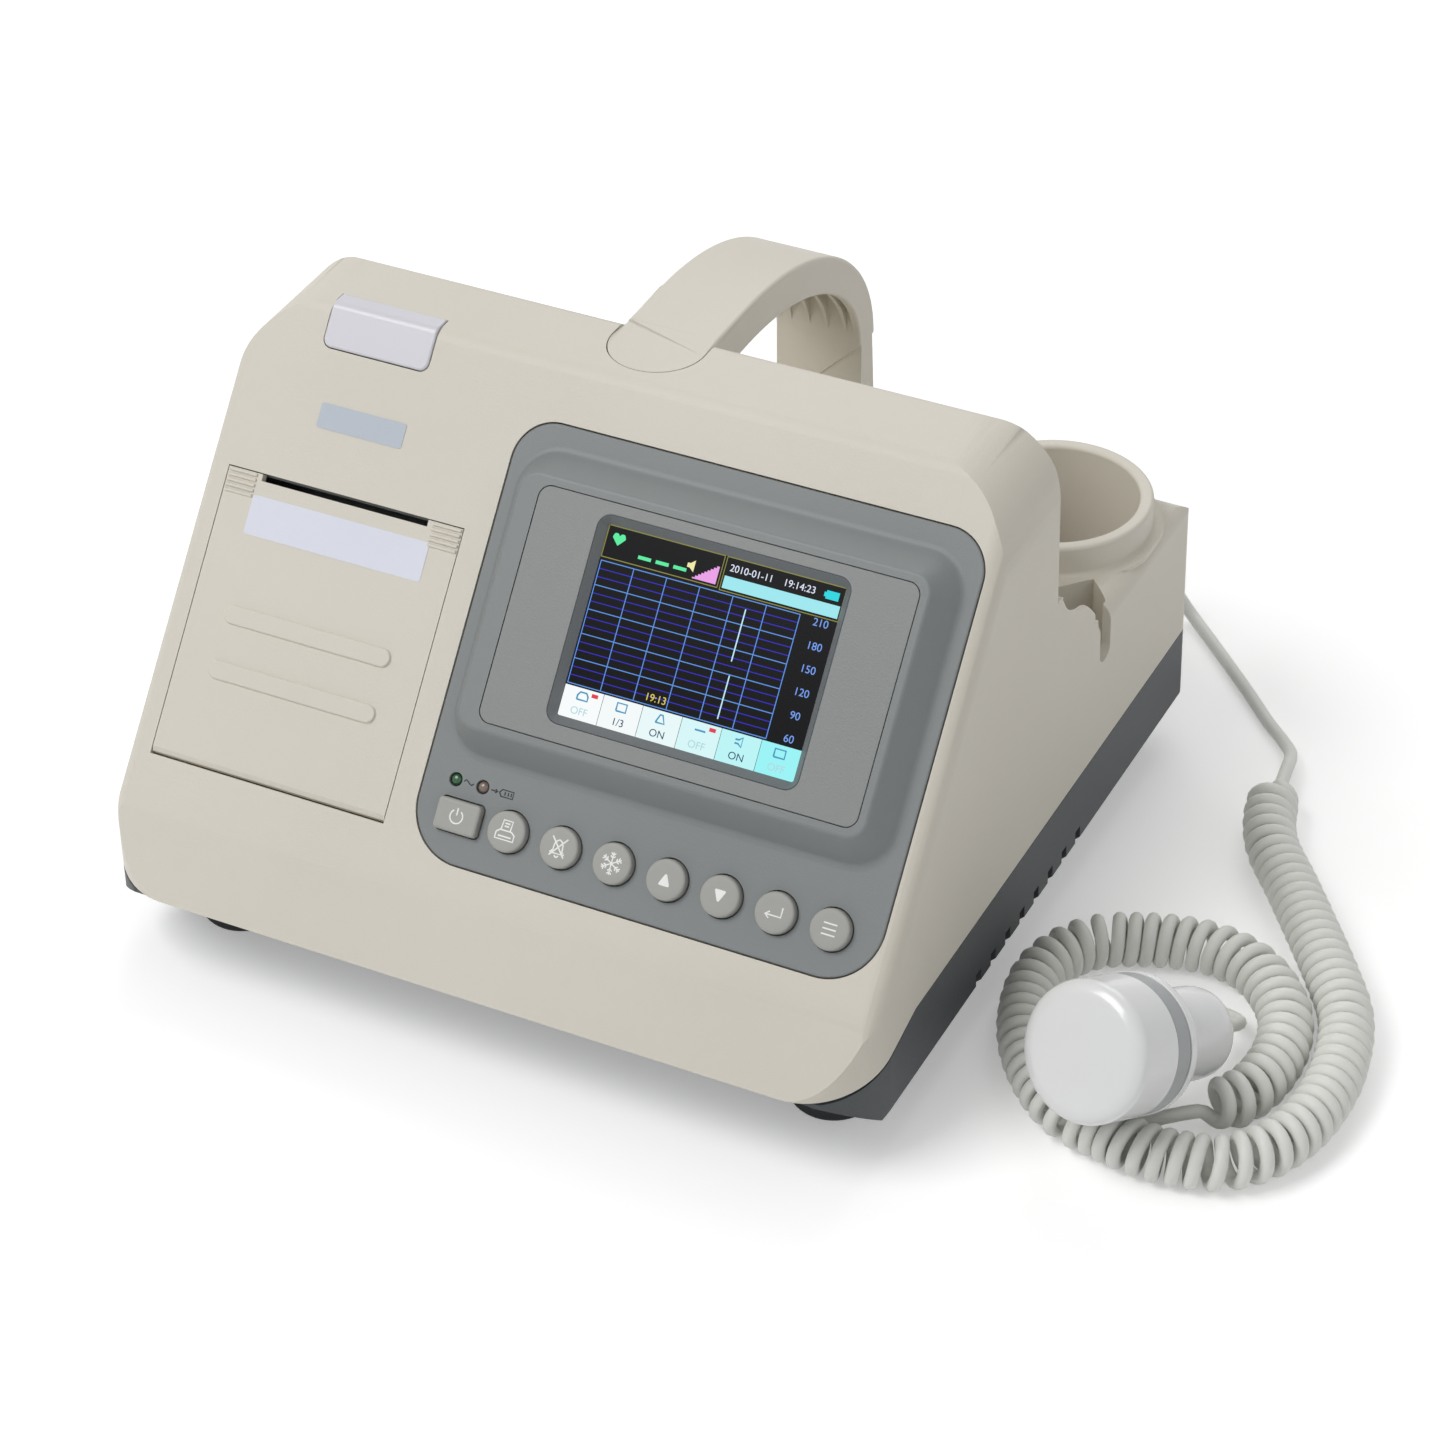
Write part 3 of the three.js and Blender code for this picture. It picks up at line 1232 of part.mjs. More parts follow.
function curlGrowth(at, path) {
  const end = Math.min(at, 1 - at) * path.getLength();
  return THREE.MathUtils.smoothstep(end, cordDiameter, cordDiameter + curlLeadIn);
}

// The curls lie closer where the coil is straight, so that they don't touch inside its bends.
function curlPoints(path) {
  const slices = Math.ceil(path.getLength());
  const length = path.getLength() / slices;
  const turns = [0];
  for (let slice = 0; slice < slices; slice += 1) {
    const before = path.getTangentAt(slice / slices);
    const bend = before.angleTo(path.getTangentAt((slice + 1) / slices)) / length;
    const grown = curlGrowth((slice + 0.5) / slices, path);
    const speed = Math.max(grown ** 2, curlStartShare);
    turns.push(turns[slice] + (speed * length * (1 - curlRadius * bend)) / (cordDiameter + curlGap));
  }
  const total = Math.floor(turns.at(-1));
  const scale = total / turns.at(-1);
  const points = [];
  const normal = new THREE.Vector3(0, 0, 1);
  let slice = 0;
  for (let step = 0; step <= total * curlSteps; step += 1) {
    const turn = step / curlSteps;
    while (slice < slices - 1 && turns[slice + 1] * scale < turn) slice += 1;
    const within = (turn - turns[slice] * scale) / ((turns[slice + 1] - turns[slice]) * scale);
    const at = THREE.MathUtils.clamp((slice + within) / slices, 0, 1);
    const grown = curlGrowth(at, path);
    const centre = path.getPointAt(at);
    const aside = path.getTangentAt(at).cross(normal).normalize();
    centre.addScaledVector(aside, curlRadius * grown * Math.cos(2 * Math.PI * turn));
    centre.addScaledVector(normal, curlRadius * grown * Math.sin(2 * Math.PI * turn));
    points.push(centre);
  }
  return points;
}

function leastGap(points) {
  let least = Infinity;
  const line = new THREE.Line3();
  const nearest = new THREE.Vector3();
  const apart = Math.floor(curlSteps * 0.6);
  points.forEach((point, at) => {
    for (let other = at + apart; other < points.length - 1; other += 1) {
      if (point.distanceTo(points[other]) > 3 * cordDiameter) continue;
      line.set(points[other], points[other + 1]);
      line.closestPointToPoint(point, true, nearest);
      least = Math.min(least, nearest.distanceTo(point) - cordDiameter);
    }
  });
  return least;
}

function tubeThrough(points, sides) {
  const positions = [];
  const index = [];
  let across = new THREE.Vector3(0, 0, 1);
  points.forEach((point, at) => {
    const before = points[Math.max(at - 1, 0)];
    const after = points[Math.min(at + 1, points.length - 1)];
    const along = after.clone().sub(before).normalize();
    across = across.addScaledVector(along, -across.dot(along)).normalize();
    const beside = along.clone().cross(across);
    for (let side = 0; side < sides; side += 1) {
      const angle = (2 * Math.PI * side) / sides;
      const corner = point.clone()
        .addScaledVector(across, (cordDiameter / 2) * Math.cos(angle))
        .addScaledVector(beside, (cordDiameter / 2) * Math.sin(angle));
      positions.push(corner.x, corner.y, corner.z);
    }
    if (at === 0) return;
    for (let side = 0; side < sides; side += 1) {
      const here = at * sides + side;
      const next = at * sides + ((side + 1) % sides);
      index.push(here - sides, next - sides, here, next - sides, next, here);
    }
  });
  const last = (points.length - 1) * sides;
  for (let side = 1; side < sides - 1; side += 1) {
    index.push(0, side + 1, side, last, last + side, last + side + 1);
  }
  const geometry = new THREE.BufferGeometry();
  geometry.setAttribute('position', new THREE.Float32BufferAttribute(positions, 3));
  geometry.setIndex(index);
  geometry.userData.welded = true;
  return geometry;
}

const coilPath = new THREE.CatmullRomCurve3(routePoints(coilRoute, coilHeight), false, 'centripetal');
coilPath.arcLengthDivisions = 2000;
const curls = curlPoints(coilPath);
const coilStart = coilPath.getPointAt(0);
const coilEnd = coilPath.getPointAt(1);
const startWay = coilPath.getTangentAt(0);
const endWay = coilPath.getTangentAt(1);
const gap = leastGap(curls);
console.log(`curls ${(curls.length - 1) / curlSteps}, least gap ${gap.toFixed(2)} mm`);

function leadPoints() {
  const start = new THREE.Vector3(glandX, glandY + fit, glandZ);
  return [
    start, start.clone().setY(glandY + fit + cordDiameter), ...routePoints(leadRoute),
    coilStart.clone().addScaledVector(startWay, -fit - cordDiameter),
    coilStart.clone().addScaledVector(startWay, -fit),
  ];
}

function tailPoints() {
  const exit = probeFace.clone().addScaledVector(probeAxis, probeLength + reliefLength + fit);
  return [
    exit, exit.clone().addScaledVector(probeAxis, cordDiameter), ...routePoints(tailRoute),
    coilEnd.clone().addScaledVector(endWay, fit + cordDiameter),
    coilEnd.clone().addScaledVector(endWay, fit),
  ];
}

// Assembly

piece(monitor, 'upper_shell', upperShell(), 'ivory');
piece(monitor, 'base_tray', baseTray(), 'darkGrey');
['front_left', 'front_right', 'rear_left', 'rear_right'].forEach((place, at) => {
  piece(monitor, `foot_${place}`, foot(...footPlaces[at]), 'rubber');
  piece(monitor, `screw_${place}`, screw(...posts[at], postFoot - screwSeat - fit, screwLength), 'steel');
});
piece(monitor, 'handle', handleGeometry(), 'ivory');
['left', 'right'].forEach((side, at) => {
  const x = (at - 0.5) * handleScrewSpacing;
  piece(monitor, `handle_screw_${side}`, screw(x, legY, legScrewSeat - fit, legScrewLength), 'steel');
});
piece(monitor, 'handle_screw_front', screw(0, tongueCentre,
  topHeight - tongueThickness - handleBossDepth - fit, handleBossDepth - fit), 'steel');

piece(panel, 'front_bezel', frontBezel(), 'grey');
piece(panel, 'screen_plate', cut(
  prism('z', plateOutline, plateauHeight - plateThickness, plateauHeight),
  prism('z', screenOutline, 0, plateauHeight + overrun)), 'plate');
const behindScreen = inset(screenOutline, -plateauBorder);
piece(panel, 'screen_window', prism('z', behindScreen, windowTop - windowThickness, windowTop), 'glass');
piece(panel, 'lcd_module', prism('z', behindScreen, windowTop - windowThickness - fit - displayDepth,
  windowTop - windowThickness - fit), 'darkGrey');
piece(panel, 'power_key', powerKey(), 'key');
keyPlaces.forEach((x, at) => {
  piece(panel, `${keyNames[at]}_key`, roundKey().translate(x, -keyRow, 0), 'key');
});
piece(panel, 'keypad_board', keypadBoard(), 'board');
piece(panel, 'mains_led', panelLamp(lampPlaces[0]), 'green');
piece(panel, 'battery_led', panelLamp(lampPlaces[1]), 'amber');
piece(monitor, 'lamp_lens', join(lampPrism(0, wall + fit, 0),
  lampPrism(wall + fit, wall + fit + lampFlange, lampFlange)), 'lamp');
piece(monitor, 'lamp_board', lampPrism(wall + 2 * fit + lampFlange,
  wall + 2 * fit + lampFlange + boardThickness, 0), 'board');

piece(panel, 'printer_door', printerDoor(), 'ivory');
piece(panel, 'door_hinge_pin', alongX(rod(doorPinRadius, doorLeft - doorPinReach,
  doorRight + doorPinReach, smallSides)).translate(0, -hingeAt, -doorRound), 'steel');
piece(panel, 'platen_roller', platenRoller(), 'rubber');
piece(panel, 'print_head', printHead(), 'steel');
piece(panel, 'paper_roll', paperRoll(), 'paper');
piece(panel, 'printer_cradle', printerCradle(), 'grey');

piece(monitor, 'battery_cover', block(bayLeft - coverBorder, bayRight + coverBorder,
  bayFront - coverBorder, bayBack + coverBorder, baseHeight, baseHeight + coverThickness), 'darkGrey');
piece(monitor, 'battery_pack', block(bayLeft + bayClearance, bayRight - bayClearance,
  bayFront + bayClearance, bayBack - bayClearance, baseHeight + coverThickness + fit,
  baseHeight + coverThickness + fit + batteryHeight), 'cell');
const mainParts = [[0.1, 0.4, 0.15, 0.4, 0.5], [0.5, 0.8, 0.2, 0.45, 0.6], [0.3, 0.55, 0.6, 0.75, 0.4]];
const powerParts = [[0.15, 0.5, 0.1, 0.45, 4], [0.6, 0.85, 0.15, 0.4, 3], [0.2, 0.45, 0.6, 0.85, 2.4]];
piece(monitor, 'main_board', circuitBoard(mainBoardArea, mainParts), 'board');
piece(monitor, 'power_board', circuitBoard(powerBoardArea, powerParts), 'board');
piece(monitor, 'speaker', speaker(), 'steel');
piece(monitor, 'mains_inlet', mainsInlet(), 'darkGrey');
piece(monitor, 'probe_gland', gland(), 'white');

piece(probe, 'probe_cap', probeCap(), 'white');
piece(probe, 'probe_body', probeBody(), 'white');
piece(probe, 'probe_band', probeBand(), 'band');
piece(probe, 'transducer', rod(transducerRadius, probeSkin + fit,
  probeSkin + fit + transducerThickness), 'steel');
piece(probe, 'probe_relief', probeRelief(), 'white');

piece(monitor, 'cord_lead', tubeAlong(leadPoints(), 2.4 * cordDiameter), 'cord');
piece(monitor, 'cord_coil', tubeThrough(curls, curlSides), 'cord');
piece(monitor, 'cord_tail', tubeAlong(tailPoints(), 1.6 * cordDiameter), 'cord');

// The origin is the middle of the footprint of everything but the cord, on the floor.
const extent = new THREE.Box3();
monitor.updateMatrixWorld(true);
monitor.traverse((mesh) => {
  if (mesh.isMesh && !mesh.name.startsWith('cord_')) extent.expandByObject(mesh, true);
});
const middle = extent.getCenter(new THREE.Vector3());
monitor.position.set(-middle.x, -middle.y, -extent.min.z);
console.log(`origin at ${middle.x.toFixed(3)}, ${middle.y.toFixed(3)} from the housing's middle`);

export default monitor;
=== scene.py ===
# Bench-top fetal heart monitor with its hand probe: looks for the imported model.
# Lengths in the dictionaries are millimetres, measured from the middle of the housing on the floor,
# or on the sloping panel as x and the distance down from its top edge.

import math

import bmesh
import bpy
from mathutils import Matrix, Vector


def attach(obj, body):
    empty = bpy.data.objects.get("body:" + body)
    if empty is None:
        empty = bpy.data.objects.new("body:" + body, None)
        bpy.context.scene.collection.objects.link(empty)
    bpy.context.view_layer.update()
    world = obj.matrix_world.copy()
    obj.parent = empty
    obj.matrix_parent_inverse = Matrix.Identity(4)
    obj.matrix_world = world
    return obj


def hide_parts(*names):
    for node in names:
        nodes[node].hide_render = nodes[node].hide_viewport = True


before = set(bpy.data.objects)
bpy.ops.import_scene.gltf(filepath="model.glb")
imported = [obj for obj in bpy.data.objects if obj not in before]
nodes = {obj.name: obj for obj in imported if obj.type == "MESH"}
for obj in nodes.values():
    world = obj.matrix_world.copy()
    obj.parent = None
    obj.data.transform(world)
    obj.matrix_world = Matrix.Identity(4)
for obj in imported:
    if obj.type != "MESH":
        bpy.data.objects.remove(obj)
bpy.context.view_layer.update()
milli = 0.001

housing = {
    "fromOriginX": 36.765, "fromOriginY": 7.0, "half": 118.49, "front": -117.842, "rear": 117.842,
    "headRear": 15.842, "panelTop": -11.408, "top": 165.646, "shelf": 86.0, "slope": math.radians(51.1),
    "sideSpread": 1.3,
}


def spot(x, y, z):  # a place on the housing, in the row's frame and in metres
    return Vector((x - housing["fromOriginX"], y - housing["fromOriginY"], z)) * milli


def fromSpot(place):  # the other way round
    return place / milli + Vector((housing["fromOriginX"], housing["fromOriginY"], 0))


def placeAt(x, y, z):
    return Matrix.Translation(spot(x, y, z))


def moveBy(x, y, z):
    return Matrix.Translation(Vector((x, y, z)) * milli)


housingMatrix = placeAt(0, 0, 0)
panelMatrix = placeAt(0, housing["panelTop"], housing["top"]) @ Matrix.Rotation(housing["slope"], 4, "X")


def onPanel(x, y, z=0):
    return panelMatrix @ moveBy(x, y, z)


# Camera first, at the angle of the photograph

camera = {
    "place": (482.15, -893.65, 803.6), "turn": math.radians(27.30), "tilt": math.radians(36.90),
    "roll": math.radians(1.26), "lens": 109.72, "sensor": 36, "near": 0.05, "far": 20,
}


def makeCamera():
    bpy.ops.object.camera_add()
    made = bpy.context.object
    made.name = "photoCamera"
    made.data.lens, made.data.sensor_width = camera["lens"], camera["sensor"]
    made.data.clip_start, made.data.clip_end = camera["near"], camera["far"]
    made.matrix_world = (
        placeAt(*camera["place"]) @ Matrix.Rotation(camera["turn"], 4, "Z")
        @ Matrix.Rotation(math.pi / 2 - camera["tilt"], 4, "X") @ Matrix.Rotation(-camera["roll"], 4, "Z"))
    bpy.context.scene.camera = made


makeCamera()
print("camera placed")


# Ways of working

def clear():
    if bpy.context.object and bpy.context.object.mode != "OBJECT":
        bpy.ops.object.mode_set(mode="OBJECT")
    bpy.ops.object.select_all(action="DESELECT")


def pick(piece):
    clear()
    piece.select_set(True)
    bpy.context.view_layer.objects.active = piece


def edit(piece):
    pick(piece)
    bpy.ops.object.mode_set(mode="EDIT")


def choose(piece, kind, test):  # selects by place or normal, in edit mode
    bpy.ops.mesh.select_mode(type=kind)
    bpy.ops.mesh.select_all(action="DESELECT")
    form = bmesh.from_edit_mesh(piece.data)
    for part in form.verts if kind == "VERT" else form.edges:
        if test(part):
            part.select_set(True)
    form.select_flush_mode()
    bmesh.update_edit_mesh(piece.data)


def everything():  # selects the whole mesh, in edit mode
    bpy.ops.mesh.select_all(action="SELECT")


def weld(distance):  # joins points that lie this near, in metres, in edit mode
    everything()
    bpy.ops.mesh.remove_doubles(threshold=distance)


def closed(piece):  # ends an edit with all normals outwards
    everything()
    bpy.ops.mesh.normals_make_consistent(inside=False)
    done()
    return piece


def linked(name, data):
    made = bpy.data.objects.new(name, data)
    bpy.context.scene.collection.objects.link(made)
    return made


def done():
    bpy.ops.object.mode_set(mode="OBJECT")


def fromPoints(name, points, edges, faces):
    mesh = bpy.data.meshes.new(name)
    mesh.from_pydata([Vector(point) * milli for point in points], edges, faces)
    return linked(name, mesh)


def pushedUp(piece, height):
    edit(piece)
    everything()
    bpy.ops.mesh.extrude_region_move(TRANSFORM_OT_translate={"value": (0, 0, height * milli)})
    return closed(piece)


# Corners are (x, y, radius), anticlockwise; a corner with a radius becomes an arc.
def rounded(points, steps=8, closed=True):
    path = []
    count = len(points)
    for index, point in enumerate(points):
        x, y, radius = (*point, 0)[:3]
        here = Vector((x, y))
        inner = closed or 0 < index < count - 1
        if radius <= 0 or not inner:
            path.append((x, y))
            continue
        before = Vector(points[index - 1][:2])
        after = Vector(points[(index + 1) % count][:2])
        back, onward = (before - here).normalized(), (after - here).normalized()
        halfAngle = back.angle(onward) / 2
        centre = here + (back + onward).normalized() * (radius / math.sin(halfAngle))
        start = here + back * (radius / math.tan(halfAngle)) - centre
        sweep = (math.pi - 2 * halfAngle) * (1 if onward.x * back.y - onward.y * back.x > 0 else -1)
        for step in range(steps + 1):
            angle = sweep * step / steps
            path.append((
                centre.x + start.x * math.cos(angle) - start.y * math.sin(angle),
                centre.y + start.x * math.sin(angle) + start.y * math.cos(angle)))
    return path


def rectangle(x0, x1, y0, y1, corner=0, upperCorner=None):
    upper = corner if upperCorner is None else upperCorner
    return [(x0, y0, corner), (x1, y0, corner), (x1, y1, upper), (x0, y1, upper)]


def boxed(x, y, width, length, corner):  # a rectangle round its middle
    return rectangle(x - width / 2, x + width / 2, y - length / 2, y + length / 2, corner)


def ring(x, y, radius, start=0, end=360, steps=28):
    angles = [math.radians(start + (end - start) * step / steps) for step in range(steps + 1)]
    return [(x + radius * math.cos(angle), y + radius * math.sin(angle)) for angle in angles]


def grown(points, distance):  # an outline moved outwards, with its arcs
    moved = []
    for index, point in enumerate(points):
        x, y, radius = (*point, 0)[:3]
        before = Vector(points[index - 1][:2])
        after = Vector(points[(index + 1) % len(points)][:2])
        arriving = (Vector((x, y)) - before).normalized()
        leaving = (after - Vector((x, y))).normalized()
        outward = Vector((arriving.y + leaving.y, -arriving.x - leaving.x))
        outward *= distance / (1 + arriving.dot(leaving))
        turn = 1 if arriving.x * leaving.y - arriving.y * leaving.x > 0 else -1
        moved.append((x + outward.x, y + outward.y, max(radius + turn * distance, 0) if radius else 0))
    return moved


def plate(name, outline, low, high, steps=8):  # an outline's face, pushed up to a solid
    path = rounded(outline, steps)
    made = fromPoints(name, [(x, y, low) for x, y in path], [], [list(range(len(path)))[::-1]])
    return pushedUp(made, high - low)


def stacked(name, rings, closedEnds=True):  # rings of one outline at several heights, bridged
    points, edges, size = [], [], len(rings[0][0])
    for path, height in rings:
        first = len(points)
        points += [(x, y, height) for x, y in path]
        edges += [(first + at, first + (at + 1) % size) for at in range(size)]
    made = fromPoints(name, points, edges, [])

    def isBetween(edge, first):
        a, b = (vert.index for vert in edge.verts)
        return a // size == b // size and first <= min(a, b) and max(a, b) < first + 2 * size

    edit(made)
    for lower in range(len(rings) - 1):
        choose(made, "EDGE", lambda edge: isBetween(edge, lower * size))
        bpy.ops.mesh.bridge_edge_loops()
    if closedEnds:
        for end in (0, len(rings) - 1):
            choose(made, "VERT", lambda vert: vert.index // size == end)
            bpy.ops.mesh.edge_face_add()
    return closed(made)


def layered(name, outline, layers, steps):  # one outline, grown by a little at each height
    return stacked(name, [(rounded(grown(outline, more), steps), height) for more, height in layers])


def turned(name, profile, steps=64, arc=5):  # (radius, height, rounding) spun about the upright axis
    path = rounded(profile, arc, closed=False)
    made = fromPoints(name, [(x, 0, z) for x, z in path], [(at, at + 1) for at in range(len(path) - 1)], [])
    edit(made)
    everything()
    bpy.ops.mesh.spin(steps=steps, angle=2 * math.pi, center=(0, 0, 0), axis=(0, 0, 1))
    weld(1e-6)
    return closed(made)


def put(piece, matrix):  # moves a piece and keeps its place in its mesh
    pick(piece)
    piece.matrix_world = matrix @ piece.matrix_world
    bpy.ops.object.transform_apply(location=True, rotation=True, scale=True)
    return piece


def shift(piece, x=0, y=0, z=0):
    return put(piece, moveBy(x, y, z))


def changed(piece, kind, **traits):  # adds a modifier and applies it
    pick(piece)
    change = piece.modifiers.new("change", kind)
    for trait, value in traits.items():
        setattr(change, trait, value)
    bpy.ops.object.modifier_apply(modifier=change.name)
    return piece


def carve(piece, cutter, way="DIFFERENCE"):
    changed(piece, "BOOLEAN", object=cutter, operation=way, solver="EXACT")
    bpy.data.objects.remove(cutter)
    return piece


def bevelled(piece, test, width, segments, clamp=False):  # rounds the edges that pass the test
    edit(piece)
    choose(piece, "EDGE", test)
    bpy.ops.mesh.bevel(offset=width * milli, segments=segments, profile=0.5, clamp_overlap=clamp)
    done()


def soften(piece, width=0.5, segments=2, angle=34, smooth=32):
    changed(piece, "BEVEL", width=width * milli, segments=segments, limit_method="ANGLE",
            angle_limit=math.radians(angle))
    return smoothed(piece, smooth)


flatArea = 1.2e-4  # a many-cornered face larger than this keeps its own flat shading


def smoothed(piece, angle=32):
    pick(piece)
    bpy.ops.object.shade_smooth_by_angle(angle=math.radians(angle))
    edit(piece)
    choose(piece, "EDGE", lambda edge: any(
        len(face.verts) > 4 and face.calc_area() > flatArea for face in edge.link_faces))
    bpy.ops.mesh.mark_sharp()
    done()
    return changed(piece, "WEIGHTED_NORMAL", keep_sharp=True)


def copied(node, name):  # a node's mesh with its loose triangles joined
    made = linked(name, nodes[node].data.copy())
    made.data.name = name
    edit(made)
    weld(2e-6)
    bpy.ops.mesh.customdata_custom_splitnormals_clear()
    bpy.ops.mesh.dissolve_limited(angle_limit=math.radians(0.4))
    done()
    return made


def tube(name, lines, width, sides):  # round lines through points in metres
    curve = bpy.data.curves.new(name, "CURVE")
    curve.dimensions, curve.use_fill_caps = "3D", True
    curve.bevel_depth, curve.bevel_resolution = width / 2 * milli, sides
    for line in lines:
        spline = curve.splines.new("POLY")
        spline.points.add(len(line) - 1)
        for point, place in zip(spline.points, line):
            point.co = (*place, 1)
        spline.use_smooth = True
    return linked(name, curve)


def eased(share):  # 0 to 1, slow at both ends
    share = min(max(share, 0), 1)
    return share * share * (3 - 2 * share)


def dress(piece, material, body="housing", stands=()):
    piece.data.materials.clear()
    piece.data.materials.append(material)
    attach(piece, body)
    if stands:
        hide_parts(*stands)
    return piece


def joined(name, pieces):
    clear()
    for piece in pieces:
        piece.select_set(True)
    bpy.context.view_layer.objects.active = pieces[0]
    bpy.ops.object.join()
    pieces[0].name = pieces[0].data.name = name
    return pieces[0]


# Cord: one line from the gland in the rear wall, through the coil, into the probe

cordSizes = {
    "diameter": 4.0, "curlRadius": 5.9, "pitch": 4.26, "stepsPerCurl": 20, "leadIn": 9, "startShare": 0.15,
    "ease": 3.7, "coilHeight": 7.85, "gland": (84, 132.14, 48), "sides": 3, "reliefEnd": 72.8, "inProbe": 46,
    "step": 1.5,
}
leadRoute = [
    (84, 131.8, 48), (84, 135.8, 48), (85, 145, 44), (89, 158, 28), (94, 166, 12), (100, 166.5, 3.6),
    (109.8, 158.1, 2.1), (120.7, 147.2, 2.1), (131.3, 136.4, 2.1), (142.1, 124.9, 2.1), (149, 118.3, 2.3),
    (154.4, 110.4, 4.3),
]
coilRoute = [
    (157.9, 94.8), (160.6, 76.5), (166.4, 62.8), (177.5, 48.4), (189.4, 32.7), (202, 15.5), (211.9, 0),
    (216.8, -16.7), (218.2, -33), (216.1, -49), (210.4, -61.5), (202.3, -69.2), (192.2, -72.6),
    (181.5, -73.5), (170.5, -71.8), (158, -68.9), (146.3, -60), (134.8, -44), (128.6, -22), (130.8, -8.6),
    (137.7, 1.3), (147.5, 6.9), (157.8, 10.6), (168.9, 12), (180.4, 9.4), (189.6, 2.6), (196.9, -7.2),
    (200.4, -18.8), (200.6, -31), (198.2, -41.2), (192.6, -49.9), (185.8, -55.6),
]
tailRoute = [
    (174.6, -61.4, 4.2), (168, -59.6, 2.2), (164, -51, 2.05), (163.6, -38, 2.05), (165, -22, 2.05),
    (167.8, -12.4, 2.05), (172.6, -7.2, 2.05), (178, -6.4, 2.1), (182.6, -8.4, 3.4), (185.6, -12.4, 6.2),
]
probe = {"face": Vector((166, -82.6, 43.1)), "tail": Vector((181, -32.4, 17.1))}
probe["axis"] = (probe["tail"] - probe["face"]).normalized()


def smoothLine(points, steps=24):  # a centripetal curve through the points
    points = [Vector(point) for point in points]
    ends = [2 * points[0] - points[1], *points, 2 * points[-1] - points[-2]]
    line = []
    for a, b, c, d in zip(ends, ends[1:], ends[2:], ends[3:]):
        first, middle, last = (max((q - p).length, 1e-6) ** 0.5 for p, q in ((a, b), (b, c), (c, d)))
        into = ((b - a) / first - (c - a) / (first + middle) + (c - b) / middle) * middle
        outOf = ((c - b) / middle - (d - b) / (middle + last) + (d - c) / last) * middle
        for step in range(steps):
            t = step / steps
            line.append(
                b + into * t + (-3 * b + 3 * c - 2 * into - outOf) * t ** 2
                + (2 * b - 2 * c + into + outOf) * t ** 3)
    return [*line, points[-1]]


def evenly(line, spacing):  # the same line with its points a set distance apart
    lengths = [(b - a).length for a, b in zip(line, line[1:])]
    total = sum(lengths)
    count = max(2, math.ceil(total / spacing))
    spaced, walked, at = [line[0]], 0, 0
    for step in range(1, count):
        wanted = total * step / count
        while walked + lengths[at] < wanted:
            walked += lengths[at]
            at += 1
        spaced.append(line[at].lerp(line[at + 1], (wanted - walked) / lengths[at]))
    return [*spaced, line[-1]]


def curls(line):  # winds the cord round the coil's own line
    radius, perCurl = cordSizes["curlRadius"], cordSizes["stepsPerCurl"]
    count = len(line) - 1
    step = sum((b - a).length for a, b in zip(line, line[1:])) / count
    growth = [eased((min(at, count - at) * step - cordSizes["ease"]) / cordSizes["leadIn"])
              for at in range(count + 1)]
    ways = [(line[min(at + 1, count)] - line[max(at - 1, 0)]).normalized() for at in range(count + 1)]
    turns = [0]
    for at in range(count):
        bend = ways[at].angle(ways[at + 1], 0) / step
        speed = max(growth[at] ** 2, cordSizes["startShare"])
        turns.append(turns[-1] + speed * step * (1 - radius * bend) / cordSizes["pitch"])
    total = math.floor(turns[-1])
    scale = total / turns[-1]
    points, at = [], 0
    for tick in range(total * perCurl + 1):
        turn = tick / perCurl
        while at < count - 1 and turns[at + 1] * scale < turn:
            at += 1
        share = (turn - turns[at] * scale) / ((turns[at + 1] - turns[at]) * scale)
        share = min(max(share, 0), 1)
        aside = ways[at].lerp(ways[at + 1], share).cross(Vector((0, 0, 1))).normalized()
        wide = radius * (growth[at] + (growth[at + 1] - growth[at]) * share)
        angle = 2 * math.pi * turn
        points.append(
            line[at].lerp(line[at + 1], share) + aside * wide * math.cos(angle)
            + Vector((0, 0, wide * math.sin(angle))))
    return points


def cordLine():
    height = cordSizes["coilHeight"]
    coil = evenly(smoothLine([(x, y, height) for x, y in coilRoute]), 1)
    startWay = (coil[1] - coil[0]).normalized()
    endWay = (coil[-1] - coil[-2]).normalized()
    lead = smoothLine([*leadRoute, coil[0] - startWay * cordSizes["ease"]])
    into = [probe["face"] + probe["axis"] * cordSizes[key] for key in ("reliefEnd", "inProbe")]
    tail = smoothLine([
        coil[-1] + endWay * cordSizes["ease"], *tailRoute,
        into[0] + probe["axis"] * cordSizes["ease"], *into])
    return [*evenly(lead, cordSizes["step"])[:-1], *curls(coil), *evenly(tail, cordSizes["step"])[1:]]


def makeCord(material):
    line = [spot(*point) for point in cordLine()]
    made = tube("probeCord", [line], cordSizes["diameter"], cordSizes["sides"])
    dress(made, material, stands=["cord_lead", "cord_coil", "cord_tail"])
    length = sum((b - a).length for a, b in zip(line, line[1:]))
    print(f"cord {length:.3f} m long")
    return made, length


def feed(tree, node, given):  # sets a node's inputs, or links them to the sockets given
    for name, value in given.items():
        if isinstance(value, bpy.types.NodeSocket):
            tree.links.new(value, node.inputs[name])
        else:
            node.inputs[name].default_value = value


def added(tree, kind, given=None, **traits):  # a new node's outputs
    node = tree.nodes.new(f"ShaderNode{kind}")
    for trait, value in traits.items():
        setattr(node, trait, value)
    feed(tree, node, given or {})
    return node.outputs


# Finishes

